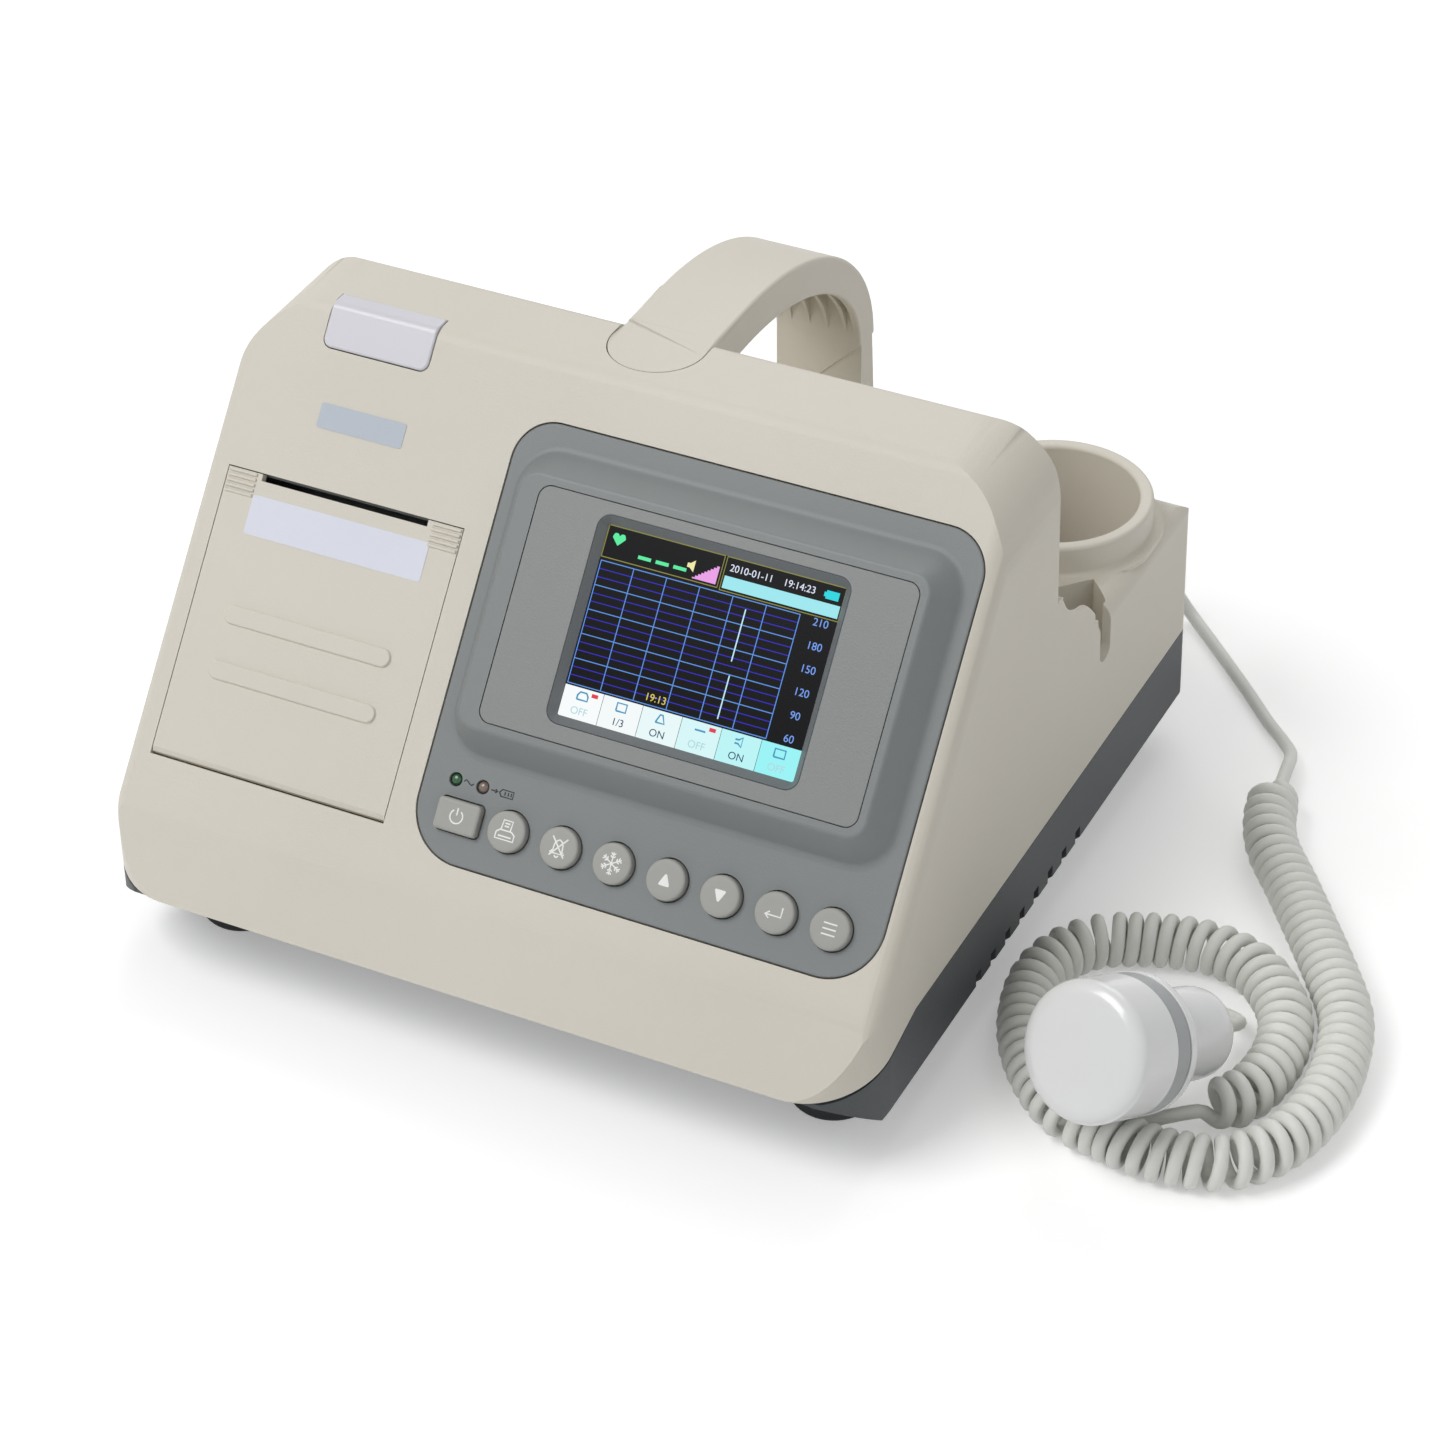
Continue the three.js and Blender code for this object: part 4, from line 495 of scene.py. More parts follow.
def makeMouldedSkin():  # fine spark-eroded grain, slow mottling and a few settled specks
    group = bpy.data.node_groups.new("mouldedSkin", "ShaderNodeTree")
    for name, value in {
            "Colour": (0.8, 0.8, 0.8, 1), "Mottle colour": (0.7, 0.7, 0.7, 1), "Mottle scale": 9,
            "Mottle amount": 0.3, "Grain scale": 1600, "Grain height": 0.05, "Roughness": 0.5,
            "Roughness spread": 0.06}.items():
        kind = "NodeSocketColor" if isinstance(value, tuple) else "NodeSocketFloat"
        group.interface.new_socket(name=name, in_out="INPUT", socket_type=kind).default_value = value
    for name, kind in {"Colour": "Color", "Roughness": "Float", "Normal": "Vector"}.items():
        group.interface.new_socket(name=name, in_out="OUTPUT", socket_type=f"NodeSocket{kind}")
    given, result = group.nodes.new("NodeGroupInput").outputs, group.nodes.new("NodeGroupOutput")
    place = added(group, "TexCoord")["Object"]
    mottle = added(group, "TexNoise", {"Vector": place, "Scale": given["Mottle scale"], "Detail": 4})
    grain = added(group, "TexNoise", {
        "Vector": place, "Scale": given["Grain scale"], "Detail": 3, "Roughness": 0.7})["Fac"]
    specks = added(group, "TexVoronoi", {"Vector": place, "Scale": 140})
    spread = added(group, "MapRange", {"Value": mottle["Fac"], "From Min": 0.35, "From Max": 0.7})
    share = added(group, "Math", {0: spread["Result"], 1: given["Mottle amount"]}, operation="MULTIPLY")
    tint = added(group, "Mix", {
        "Factor": share[0], "A": given["Colour"], "B": given["Mottle colour"]}, data_type="RGBA")
    dot = added(group, "MapRange", {
        "Value": specks["Distance"], "From Min": 0, "From Max": 0.05, "To Min": 0.12, "To Max": 0})
    settled = added(group, "Mix", {
        "Factor": dot["Result"], "A": tint["Result"], "B": (0.72, 0.68, 0.6, 1)},
        data_type="RGBA", blend_type="MULTIPLY")
    rough = added(group, "Math", {
        0: grain, 1: given["Roughness spread"], 2: given["Roughness"]}, operation="MULTIPLY_ADD")
    bump = added(group, "Bump", {"Distance": 0.0002, "Strength": given["Grain height"], "Height": grain})
    feed(group, result, {"Colour": settled["Result"], "Roughness": rough[0], "Normal": bump["Normal"]})
    return group


mouldedSkin = makeMouldedSkin()


def shader(name):
    material = bpy.data.materials.new(name)
    material.use_nodes = True
    return material, material.node_tree, material.node_tree.nodes["Principled BSDF"]


def plastic(name, colour, mottle, roughness=0.5, grain=0.3, grainScale=1600, amount=0.3, coat=0):
    material, tree, surface = shader(name)
    skin = added(tree, "Group", {
        "Colour": tone(*colour), "Mottle colour": tone(*mottle), "Mottle amount": amount,
        "Grain scale": grainScale, "Grain height": grain, "Roughness": roughness}, node_tree=mouldedSkin)
    feed(tree, surface, {
        "Base Color": skin["Colour"], "Roughness": skin["Roughness"], "Normal": skin["Normal"],
        "Coat Weight": coat, "Coat Roughness": 0.15})
    return material


def metal(name, colour, roughness):
    material, tree, surface = shader(name)
    pale = tone(*colour)
    darker = (*(part * 0.8 for part in pale[:3]), 1)
    place = added(tree, "Mapping", {"Vector": added(tree, "TexCoord")["Object"], "Scale": (1, 1, 0.06)})
    noise = added(tree, "TexNoise", {"Vector": place["Vector"], "Scale": 900})["Fac"]
    level = added(tree, "MapRange", {
        "Value": noise, "To Min": roughness - 0.08, "To Max": roughness + 0.12})
    tint = added(tree, "Mix", {"Factor": noise, "A": pale, "B": darker}, data_type="RGBA")
    feed(tree, surface, {"Base Color": tint["Result"], "Roughness": level["Result"], "Metallic": 1})
    return material


def glow(name, colour):
    material, tree, surface = shader(name)
    feed(tree, surface, {
        "Base Color": (0, 0, 0, 1), "Roughness": 0.25, "Specular IOR Level": 0.1,
        "Emission Color": tone(*colour), "Emission Strength": 1})
    return material


def clearGlass(name, colour):
    material, tree, surface = shader(name)
    feed(tree, surface, {
        "Base Color": tone(*colour), "Roughness": 0.04, "IOR": 1.15, "Transmission Weight": 1})
    return material


def tone(*parts):  # a colour as it looks on a screen, 0 to 255
    shares = [part / 255 for part in parts]
    return (*(part / 12.92 if part <= 0.04045 else ((part + 0.055) / 1.055) ** 2.4 for part in shares), 1)


ivory = plastic("ivoryHousing", (218, 213, 201), (210, 204, 191), 0.5, 0.35, 1500, 0.5)
bezelGrey = plastic("greyBezel", (130, 134, 134), (122, 127, 128), 0.42, 0.3, 1700, 0.5)
plateGrey = plastic("screenPlateGrey", (136, 139, 138), (128, 132, 132), 0.4, 0.35, 1900, 0.5)
frameGrey = plastic("screenFrameGrey", (108, 112, 114), (100, 105, 107), 0.5, 0.2, 1700, 0.4)
trayGrey = plastic("darkTray", (70, 74, 77), (60, 65, 68), 0.5, 0.4, 1300, 0.5)
keyGrey = plastic("keyGrey", (166, 166, 162), (158, 158, 154), 0.5, 0.2, 1900, 0.4)
rubberBlack = plastic("rubberFoot", (44, 46, 48), (58, 60, 62), 0.75, 0.6, 900, 0.6)
rollerRubber = plastic("rollerRubber", (40, 41, 43), (52, 53, 55), 0.7, 0.5, 1400, 0.5)
probeWhite = plastic("probeWhite", (233, 234, 234), (226, 227, 227), 0.2, 0.05, 900, 0.3, coat=0.5)
bandSilver = plastic("probeBand", (170, 173, 174), (160, 164, 166), 0.3, 0.15, 1200, 0.3)
cordIvory = plastic("curlyCord", (232, 233, 228), (224, 225, 218), 0.42, 0.25, 1100, 0.4)
lensWhite = plastic("lampLens", (214, 213, 219), (204, 203, 212), 0.3, 0.05, 700, 0.4, coat=0.2)
labelPaper = plastic("bareLabel", (224, 227, 238), (215, 219, 233), 0.45, 0.3, 2600, 0.6)
smallLabelPaper = plastic("smallLabel", (188, 196, 206), (178, 187, 198), 0.4, 0.3, 2600, 0.6)
whiteInk = plastic("whiteInk", (246, 246, 244), (238, 238, 236), 0.5, 0.1, 2600, 0.3)
darkInk = plastic("darkInk", (30, 32, 34), (38, 40, 42), 0.5, 0.1, 2600, 0.3)
darkGap = plastic("darkGap", (24, 23, 22), (32, 30, 28), 0.8, 0.2, 900, 0.3)
boardGreen = plastic("boardGreen", (48, 112, 68), (34, 92, 54), 0.45, 0.3, 700, 0.7)
paperWhite = plastic("chartPaper", (242, 240, 234), (234, 231, 222), 0.85, 0.3, 1500, 0.5)
cellBlue = plastic("cellSleeve", (46, 96, 168), (36, 82, 150), 0.4, 0.1, 500, 0.4)
greenLamp = plastic("greenLamp", (36, 92, 52), (24, 70, 38), 0.15, 0.02, 500, 0.5, coat=0.6)
amberLamp = plastic("amberLamp", (128, 112, 100), (92, 76, 66), 0.15, 0.02, 500, 0.5, coat=0.6)
steel = metal("brushedSteel", (196, 198, 200), 0.32)
windowGlass = clearGlass("windowGlass", (225, 240, 242))

corners = ("front_left", "front_right", "rear_left", "rear_right")
plainFinishes = {
    ivory: ("upper_shell", "handle", "printer_door"),
    bezelGrey: ("front_bezel", "printer_cradle"),
    plateGrey: ("screen_plate",),
    trayGrey: ("base_tray", "battery_cover", "mains_inlet", "lcd_module"),
    keyGrey: [f"{name}_key" for name in "power print mute freeze up down enter menu".split()],
    rubberBlack: [f"foot_{corner}" for corner in corners],
    rollerRubber: ("platen_roller",),
    windowGlass: ("screen_window",),
    boardGreen: ("keypad_board", "lamp_board", "main_board", "power_board"),
    steel: [f"screw_{corner}" for corner in corners] + [
        "handle_screw_left", "handle_screw_right", "handle_screw_front", "door_hinge_pin", "print_head",
        "speaker", "transducer"],
    lensWhite: ("lamp_lens",),
    greenLamp: ("mains_led",),
    amberLamp: ("battery_led",),
    probeWhite: ("probe_cap", "probe_body", "probe_relief", "probe_gland"),
    bandSilver: ("probe_band",),
    cordIvory: ("cord_lead", "cord_coil", "cord_tail"),
    paperWhite: ("paper_roll",),
    cellBlue: ("battery_pack",),
}
for finish, names in plainFinishes.items():
    for name in names:
        nodes[name].data.materials.clear()
        nodes[name].data.materials.append(finish)
print("finishes made")

cord, cordLength = makeCord(cordIvory)


# Housing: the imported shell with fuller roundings, a round cup and softened edges

cup = {
    "x": 86.89, "y": 83.49, "inner": 24.4, "rim": 28.4, "flare": 31.45, "under": 28.05, "base": 42.5,
    "floor": 45.0, "flange": 84.5, "top": 95.5, "play": 0.1, "clearTop": 104, "sideX": 117.81, "steps": 96,
}
form = {
    "low": 15, "lowFrontY": -126.24, "breakY": -103.592, "breakHeight": 51.4, "breakRound": 60,
    "headCorner": 25.5, "panelSide": 6, "panelTop": 6.5, "headEdge": 4.6, "headBack": 4.5,
    "frontCorner": 22.5, "rearCorner": 8.8, "rearRound": 18, "shelfEdge": 6, "spare": 0.02, "away": 6,
    "past": 5, "steps": 16, "sideWall": 2.6, "run": 60, "rearRun": -40, "ahead": -150, "under": 10,
    "frontTop": 150, "shelfTop": 100, "over": 175, "tray": (-5, 60),
}
fin = {
    "points": [(43.04, 87.3), (33.25, 97.2), (26.83, 99.8), (20.6, 104.1), (15.84, 111.2)], "low": 80,
    "top": 111.2, "packed": (105, 130, 47), "gap": 0.03, "from": 100, "deep": 60, "span": (70, 120),
}
pocket = {"x": (97, 115.3), "y": (15.9, 56), "rim": 1.2, "level": 0.05, "sharp": 0.8}
slot = {
    "outline": [
        (44.4, 69, 3.4), (51.9, 69, 3.4), (51.9, 86.02, 2.2), (56, 86.02), (56, 95), (40, 95), (40, 86.02),
        (44.4, 86.02, 2.2)], "x0": 113, "x1": 121,
}
acrossX = Matrix(((0, 0, 1, 0), (1, 0, 0, 0), (0, 1, 0, 0), (0, 0, 0, 1)))
acrossY = Matrix(((0, 1, 0, 0), (0, 0, 1, 0), (1, 0, 0, 0), (0, 0, 0, 1)))


def acrossHousing(name, outline, low, high, steps=8):  # an outline of (y, z) pushed along x
    return put(plate(name, outline, low, high, steps), housingMatrix @ acrossX)


def halfAt(z):  # the sides lean in towards the top
    return housing["half"] - housing["sideSpread"] * z / housing["top"] + form["spare"]


def waste(before, at, after, radius):  # what lies outside a rounded corner, as an outline
    path = rounded([before, (*at, radius), after], form["steps"], closed=False)
    arc = [Vector(point) for point in path[1:-1]]
    centre = arc[0] + (Vector(before) - Vector(at)).orthogonal().normalized() * radius
    if (centre - arc[-1]).length > radius * 1.01:
        centre = 2 * arc[0] - centre
    first, last = (arc[0] - centre).normalized(), (arc[-1] - centre).normalized()
    spare, away = form["spare"], form["away"]
    arc[0] += first * spare
    arc[-1] += last * spare
    far = Vector(at) + (first + last) * away
    return [tuple(point) for point in (*arc, arc[-1] + last * away, far, arc[0] + first * away)]


def roundFront(shell, top, radius, y0, y1):  # an edge along y on both sides
    low = top - form["run"]
    for side in (-1, 1):
        outline = waste((low, side * halfAt(low)), (top, side * halfAt(top)), (top, 0), radius)
        carve(shell, put(plate("frontWaste", outline, y0, y1), housingMatrix @ acrossY))


def roundSide(shell, before, at, after, radius):  # an edge along x
    carve(shell, acrossHousing("sideWaste", waste(before, at, after, radius), -130, 130))


def roundPlan(piece, y, inward, radius, low, high, sides=(-1, 1)):  # an upright edge of the leaning sides
    for side in sides:
        rings = [(waste((side * halfAt(z), y + inward), (side * halfAt(z), y), (0, y), radius), z)
                 for z in (low, high)]
        carve(piece, put(stacked("planWaste", rings), housingMatrix))


def roundPanel(shell, radius):  # the sloping edges beside the panel
    for side in (-1, 1):
        rings = []
        for down in (-40, 200):
            wide = halfAt(housing["top"] - down * math.sin(housing["slope"]))
            rings.append((waste((side * wide, -50), (side * wide, 0), (0, 0), radius), down))
        carve(shell, put(stacked("panelWaste", rings), panelMatrix @ Matrix.Rotation(math.pi / 2, 4, "X")))


def roundShell(shell):
    top, panelTop, shelf, rear, back = (
        housing[key] for key in ("top", "panelTop", "shelf", "rear", "headRear"))
    overShelf, behindHead = shelf + form["spare"], back + form["spare"]
    left, right, end = fin["packed"]
    packed = rectangle(left, right, behindHead, end)
    carve(shell, put(plate("packedFin", packed, overShelf, 130), housingMatrix))
    run, rearRun, under, over = (form[key] for key in ("run", "rearRun", "under", "over"))
    roundFront(shell, top, form["headCorner"], form["ahead"], back + form["past"])
    roundPanel(shell, form["panelSide"])
    roundPlan(shell, housing["front"], run, form["frontCorner"], under, form["frontTop"])
    roundPlan(shell, rear, rearRun, form["rearCorner"], under, form["shelfTop"])
    roundPlan(shell, back, rearRun, form["headBack"], overShelf, over, (-1,))
    roundPlan(shell, back, rearRun, form["headBack"], fin["top"], over, (1,))
    roundFront(shell, shelf, form["shelfEdge"], behindHead, rear + form["past"])
    roundSide(shell, (rear, 40), (rear, shelf), (back, shelf), form["rearRound"])
    roundSide(shell, (back, shelf), (back, top), (panelTop, top), form["headEdge"])
    foot = (form["breakY"], form["breakHeight"])
    roundSide(shell, (back, top), (panelTop, top), foot, form["panelTop"])
    roundSide(shell, (panelTop, top), foot, (form["lowFrontY"], form["low"]), form["breakRound"])


def makeFin():
    line = [(point.x, point.y) for point in smoothLine([(y, z, 0) for y, z in fin["points"]], 5)]
    start, end = housing["headRear"] - 3, line[0][0] + 0.4
    outline = [(start, fin["low"]), (end, fin["low"]), *line, (start, fin["top"])]
    made = acrossHousing("pocketFin", outline, housing["half"] - form["sideWall"], 125)
    rings = [(rounded(rectangle(fin["from"], halfAt(z) - fin["gap"], 0, fin["deep"])), z)
             for z in fin["span"]]
    carve(made, put(stacked("finSide", rings), housingMatrix), "INTERSECT")
    return soften(made, 0.8, 3, 50, 40)


def lensCorner(x, side):  # fills a lower corner of the lamp's opening to a rounded one
    gap, lap = lens["gap"], lens["lap"]
    radius, y = lens["corner"] + gap, -lens["onPanel"] - gap
    x += side * gap
    points = [(x + side * lap, y - lap), (x - side * radius, y - lap)]
    points += [(x + side * (px - radius), y + radius + py) for px, py in ring(0, 0, radius, 270, 360, 10)]
    points.append((x + side * lap, y + radius))
    return put(plate("lensCorner", points if side > 0 else points[::-1], *lens["fill"]), panelMatrix)


def tongueOutline(rear):  # the handle's width, with its round front end
    return rectangle(-bow["half"], bow["half"], bow["tongueEnd"], rear, bow["half"] * 0.99, 0)


def makeShell():
    shell = copied("upper_shell", "shell")
    shelf = housing["shelf"]
    inner, rim, flare, under, base, floor, flange, top, play, clearTop = (cup[key] for key in (
        "inner", "rim", "flare", "under", "base", "floor", "flange", "top", "play", "clearTop"))
    clearance = turned("cupClearance", [
        (0, base - play), (under - play, base - play), (under - play, flange + play),
        (flare - play, flange + play), (flare - play, clearTop), (0, clearTop)], cup["steps"])
    carve(shell, put(clearance, placeAt(cup["x"], cup["y"], 0)))
    roundShell(shell)
    carve(shell, makeFin(), "UNION")
    carve(shell, acrossHousing("cordSlot", slot["outline"], slot["x0"], slot["x1"]))
    recess = grown(bezel["outline"], bezel["gap"])
    carve(shell, put(plate("bezelRecess", recess, *bezel["recess"], 16), panelMatrix))
    tongue = grown(tongueOutline(housing["headRear"] + 4), bow["tongueGap"])
    carve(shell, put(plate("tongueSeat", tongue, *bow["seat"], 24), housingMatrix))
    for x, way in ((lens["left"], -1), (lens["left"] + lens["width"], 1)):
        carve(shell, lensCorner(x, way), "UNION")

    def isPocketRim(edge):
        (left, right), (front, rear) = pocket["x"], pocket["y"]
        near = all(
            left < place.x < right and front < place.y < rear and abs(place.z - shelf) < pocket["level"]
            for place in (fromSpot(vert.co) for vert in edge.verts))
        return near and len(edge.link_faces) == 2 and edge.calc_face_angle(0) > pocket["sharp"]

    bevelled(shell, isPocketRim, pocket["rim"], 3, clamp=True)
    body = turned("cupBody", [
        (0, base), (under, base, 4), (under, flange), (flare, flange), (flare, shelf + 0.01),
        (rim, shelf + 0.01, 1.3), (rim, top, 1.2), (inner, top, 1.2), (inner, floor, 2.5), (0, floor)],
        cup["steps"])
    put(body, placeAt(cup["x"], cup["y"], 0))
    edit(body)
    everything()
    bpy.ops.mesh.bisect(
        plane_co=spot(cup["sideX"], 0, 0), plane_no=(1, 0, 0), use_fill=True, clear_outer=True)
    done()
    carve(shell, body, "UNION")
    edit(shell)
    weld(3e-5)
    bpy.ops.mesh.dissolve_degenerate(threshold=3e-5)
    done()
    return dress(smoothed(shell, 28), ivory, stands=["upper_shell"])


def makeTray():
    made = copied("base_tray", "tray")
    roundPlan(made, housing["front"], form["run"], form["frontCorner"], *form["tray"])
    roundPlan(made, housing["rear"], form["rearRun"], form["rearCorner"], *form["tray"])
    return dress(smoothed(made, 30), trayGrey, stands=["base_tray"])


foot = {"radius": 12.5, "height": 4, "places": {
    "front_left": (-93.99, -80.09), "front_right": (93.99, -80.09),
    "rear_left": (-93.99, 85.09), "rear_right": (93.99, 85.09)}}


def makeFeet():
    radius, height = foot["radius"], foot["height"]
    for name, (x, y) in foot["places"].items():
        made = turned(f"rubberFoot_{name}", [
            (0, 0), (radius - 0.9, 0, 0.4), (radius, 1.2, 1), (radius - 0.3, height), (3, height), (3, 8.5),
            (0, 8.5)], 48)
        smoothed(put(made, placeAt(x, y, 0)))
        dress(made, rubberBlack, stands=[f"foot_{name}"])


makeFeet()

# Carrying handle: one bow over the rear of the head, hollow and ribbed underneath

bow = {
    "half": 13.85, "frontY": 16.14, "centreY": 35.09, "centreZ": 111.65, "reach": 82.75, "drop": 54.0,
    "thick": 12.0, "rearThick": 10.3, "shelfRound": 18.3, "footAngles": (65.1, 10.4), "gap": 0.3,
    "tongueGap": 0.35, "seat": (162.9, 175), "skin": 2.5, "edge": 1.2, "innerEdge": 0.8, "legY": 30,
    "arc": 40, "mergeAngle": 0.75, "rimDepth": 1.4, "wall": 2.0, "tongueEnd": -6.51, "tongueThick": 2.5,
    "grooves": [(-11.85, -9.6), (-8.4, -3.6), (-2.4, 2.4), (3.6, 8.4), (9.6, 11.85)],
}
quarter = math.pi / 2


def bowPoint(angle, lessOut, lessUp):
    return (
        bow["centreY"] + (bow["reach"] - lessOut) * math.cos(angle),
        bow["centreZ"] + (bow["drop"] - lessUp) * math.sin(angle))


def bowArc(lessOut, lessUp, start, end):
    return [bowPoint(start + (end - start) * step / bow["arc"], lessOut, lessUp)
            for step in range(bow["arc"] + 1)]


def underside(depth):  # the hollow under the bow, its ceiling running out into the leg's inner face
    out, up = bow["rearThick"] + bow["gap"], bow["thick"] + bow["gap"]
    ceiling = []
    for step in range(bow["arc"] + 1):
        angle = quarter * step / bow["arc"]
        share = eased(angle / bow["mergeAngle"])
        ceiling.append(bowPoint(angle, out + (depth - out) * share, up + (depth - up) * share))
    start = bow["frontY"] + bow["skin"] + 2
    below = bowArc(bow["rearThick"] + 3, bow["thick"] + 3, quarter, 0)
    top = housing["top"]
    return [(start, top - bow["thick"] - 3), *below, *ceiling, (start, top - depth)]


def makeHandle():
    rear, top, around = housing["rear"], housing["top"], bow["shelfRound"]
    inset = bow["gap"] - around
    footArc = ring(rear + inset, housing["shelf"] + inset, around, *bow["footAngles"], 12)
    side = [
        (bow["tongueEnd"] - 1, top - bow["tongueThick"]), (bow["frontY"], top - bow["tongueThick"]),
        (bow["frontY"], top - bow["thick"]), *bowArc(bow["rearThick"], bow["thick"], quarter, 0), *footArc,
        *bowArc(0, 0, 0, quarter), (bow["frontY"], top), (bow["tongueEnd"] - 1, top)]
    handle = acrossHousing("carryHandle", side, -bow["half"] - 2, bow["half"] + 2)
    outline = plate("handleOutline", tongueOutline(rear + 5), 40, 190, 24)
    carve(handle, put(outline, housingMatrix), "INTERSECT")

    def depthOf(point):  # 1 on the outer face of the bow, and less towards the inner one
        place = fromSpot(point)
        if place.y < bow["centreY"]:
            return 1 if place.z > top - 1 else 0
        if place.z < bow["centreZ"]:
            return 1 if place.y > rear - 1 else 0
        return math.hypot((place.y - bow["centreY"]) / bow["reach"], (place.z - bow["centreZ"]) / bow["drop"])

    def isRim(edge, outer):
        a, b = (vert.co for vert in edge.verts)
        sideX, middleX = bow["half"] * milli - 1e-5, spot(0, 0, 0).x
        onSide = min(abs(a.x - middleX), abs(b.x - middleX)) > sideX and abs(a.x - b.x) < 1e-5
        deep = (depthOf(a) + depthOf(b)) / 2 > 0.95
        upright = abs(a.y - b.y) < 1e-6
        if upright:
            return onSide and deep == outer and a.y > spot(0, bow["legY"], 0).y
        behind = min(a.y, b.y) > spot(0, bow["frontY"] - 0.1, 0).y
        return onSide and deep == outer and behind and min(a.z, b.z) > housing["shelf"] * milli

    bevelled(handle, lambda edge: isRim(edge, True), bow["edge"], 5)
    bevelled(handle, lambda edge: isRim(edge, False), bow["innerEdge"], 3)
    carve(handle, acrossHousing(
        "handleHollow", underside(bow["thick"] - bow["rimDepth"]), bow["wall"] - bow["half"],
        bow["half"] - bow["wall"]))
    for low, high in bow["grooves"]:
        carve(handle, acrossHousing("handleGroove", underside(bow["skin"]), low, high))
    return dress(smoothed(handle, 30), ivory, stands=["handle"])


makeHandle()
print("handle made")

# Lamp lens over the top edge of the panel

lens = {
    "left": -91.49, "width": 33.2, "onPanel": 12.1, "onTop": 5.2, "proud": 0.5, "deep": 2.6, "corner": 2.6,
    "gap": 0.3, "lap": 0.5, "fill": (-2.7, -0.03),
}


def makeLens():
    slopeY, slopeZ = math.cos(housing["slope"]), math.sin(housing["slope"])
    knee = math.tan(housing["slope"] / 2)
    top, edgeY = housing["top"], housing["panelTop"]

    def onSlope(below):
        along = lens["onPanel"]
        return edgeY - along * slopeY + below * slopeZ, top - along * slopeZ - below * slopeY

    outer, inner = -lens["proud"], lens["deep"]
    section = [
        onSlope(outer), onSlope(inner), (edgeY + inner * knee, top - inner),
        (edgeY + lens["onTop"], top - inner), (edgeY + lens["onTop"], top - outer),
        (edgeY + outer * knee, top - outer, 3)]
    made = acrossHousing("lampCover", section, lens["left"], lens["left"] + lens["width"])

    def isCorner(edge):
        a, b = (vert.co for vert in edge.verts)
        foot = spot(0, *onSlope(outer)).z
        low = min(abs(a.z - foot), abs(b.z - foot)) < 1e-4
        return low and abs(a.x - b.x) < 1e-6 and 2 * milli < (a - b).length < 4 * milli

    bevelled(made, isCorner, lens["corner"], 8)
    return dress(soften(made, 0.6, 3, 34, 32), lensWhite, stands=["lamp_lens"])


makeLens()

# Front bezel: a flat border with the raised screen surround on it

bezel = {
    "outline": rectangle(-26.64, 112.94, -139.4, -16.4, 16, 12), "gap": 0.38, "deep": 2.5, "edge": 0.45,
    "keyRow": 126.4, "recess": (-2.75, 9), "well": (-6, 9), "through": 6,
    "plateauFoot": rectangle(-22.89, 109.19, -109.3, -23.5, 12),
    "plateauTop": rectangle(-18.25, 102.55, -101.8, -31.0, 5),
    "rise": [
        (-0.2, -1.2), (-0.2, 0.015), (-0.06, 0.06), (0.04, 0.35), (0.12, 0.95), (0.87, 7.2), (0.92, 7.62),
        (0.96, 7.85), (1.0, 7.96), (1.05, 8.0)],
}
screenPlate = {
    "outline": rectangle(-12.2, 100.15, -99.4, -33.4, 3.5), "low": 7.0, "high": 8.0,
    "opening": rectangle(6.65, 81.65, -94.6, -36.6, 4.0), "seam": 0.25,
}
screen = {"x": 44.15, "d": 65.6, "width": 70.4, "height": 52.9, "level": 5.32}
keys = {
    "first": 2.26, "pitch": 16.08, "radius": 5.7, "stand": 2.4, "flange": (-4.1, -2.8), "gap": 0.4,
    "symbolScale": 1.15,
    "names": ["print", "mute", "freeze", "up", "down", "enter", "menu"], "powerX": -12.99,
    "power": (13.0, 9.0, 1.2),
}
lamps = {"row": 116.8, "places": {"mains": -17.14, "battery": -8.84}, "radius": 1.6, "gap": 0.25}
ringSteps = 10


def between(low, high, share):
    mixed = [[a + (b - a) * share for a, b in zip(*pair)] for pair in zip(low, high)]
    return [(x, y, max(radius, 0.5)) for x, y, radius in mixed]


def makeBezel():
    made = plate("bezelFrame", bezel["outline"], -bezel["deep"], 0, 16)
    bevelled(made, lambda edge: all(abs(vert.co.z) < 1e-6 for vert in edge.verts), bezel["edge"], 3)
    raised = stacked("bezelPlateau", [
        (rounded(between(bezel["plateauFoot"], bezel["plateauTop"], share), ringSteps), height)
        for share, height in bezel["rise"]])
    carve(made, raised, "UNION")
    plateOutline = grown(screenPlate["outline"], screenPlate["seam"])
    carve(made, plate("plateSeat", plateOutline, screenPlate["low"] - 0.3, 14, ringSteps))
    carve(made, plate("screenWell", grown(screenPlate["opening"], -0.2), *bezel["well"], ringSteps))
    radius, deep = keys["radius"] + keys["gap"], bezel["through"]
    for at in range(len(keys["names"])):
        hole = turned("keyHole", [(0, -deep), (radius, -deep), (radius, deep), (0, deep)], 48)
        carve(made, shift(hole, keys["first"] + at * keys["pitch"], -bezel["keyRow"]))
    powerHole = grown(boxed(keys["powerX"], -bezel["keyRow"], *keys["power"]), keys["gap"])
    carve(made, plate("powerHole", powerHole, -deep, deep))
    radius = lamps["radius"] + lamps["gap"]
    for x in lamps["places"].values():
        hole = turned("lampHole", [
            (0, -deep), (radius, -deep), (radius, -0.5), (radius + 0.45, 1), (0, 1)], 32)
        carve(made, shift(hole, x, -lamps["row"]))
    return dress(smoothed(put(made, panelMatrix), 30), bezelGrey, stands=["front_bezel"])


makeBezel()
makeShell()
makeTray()
print("housing made")


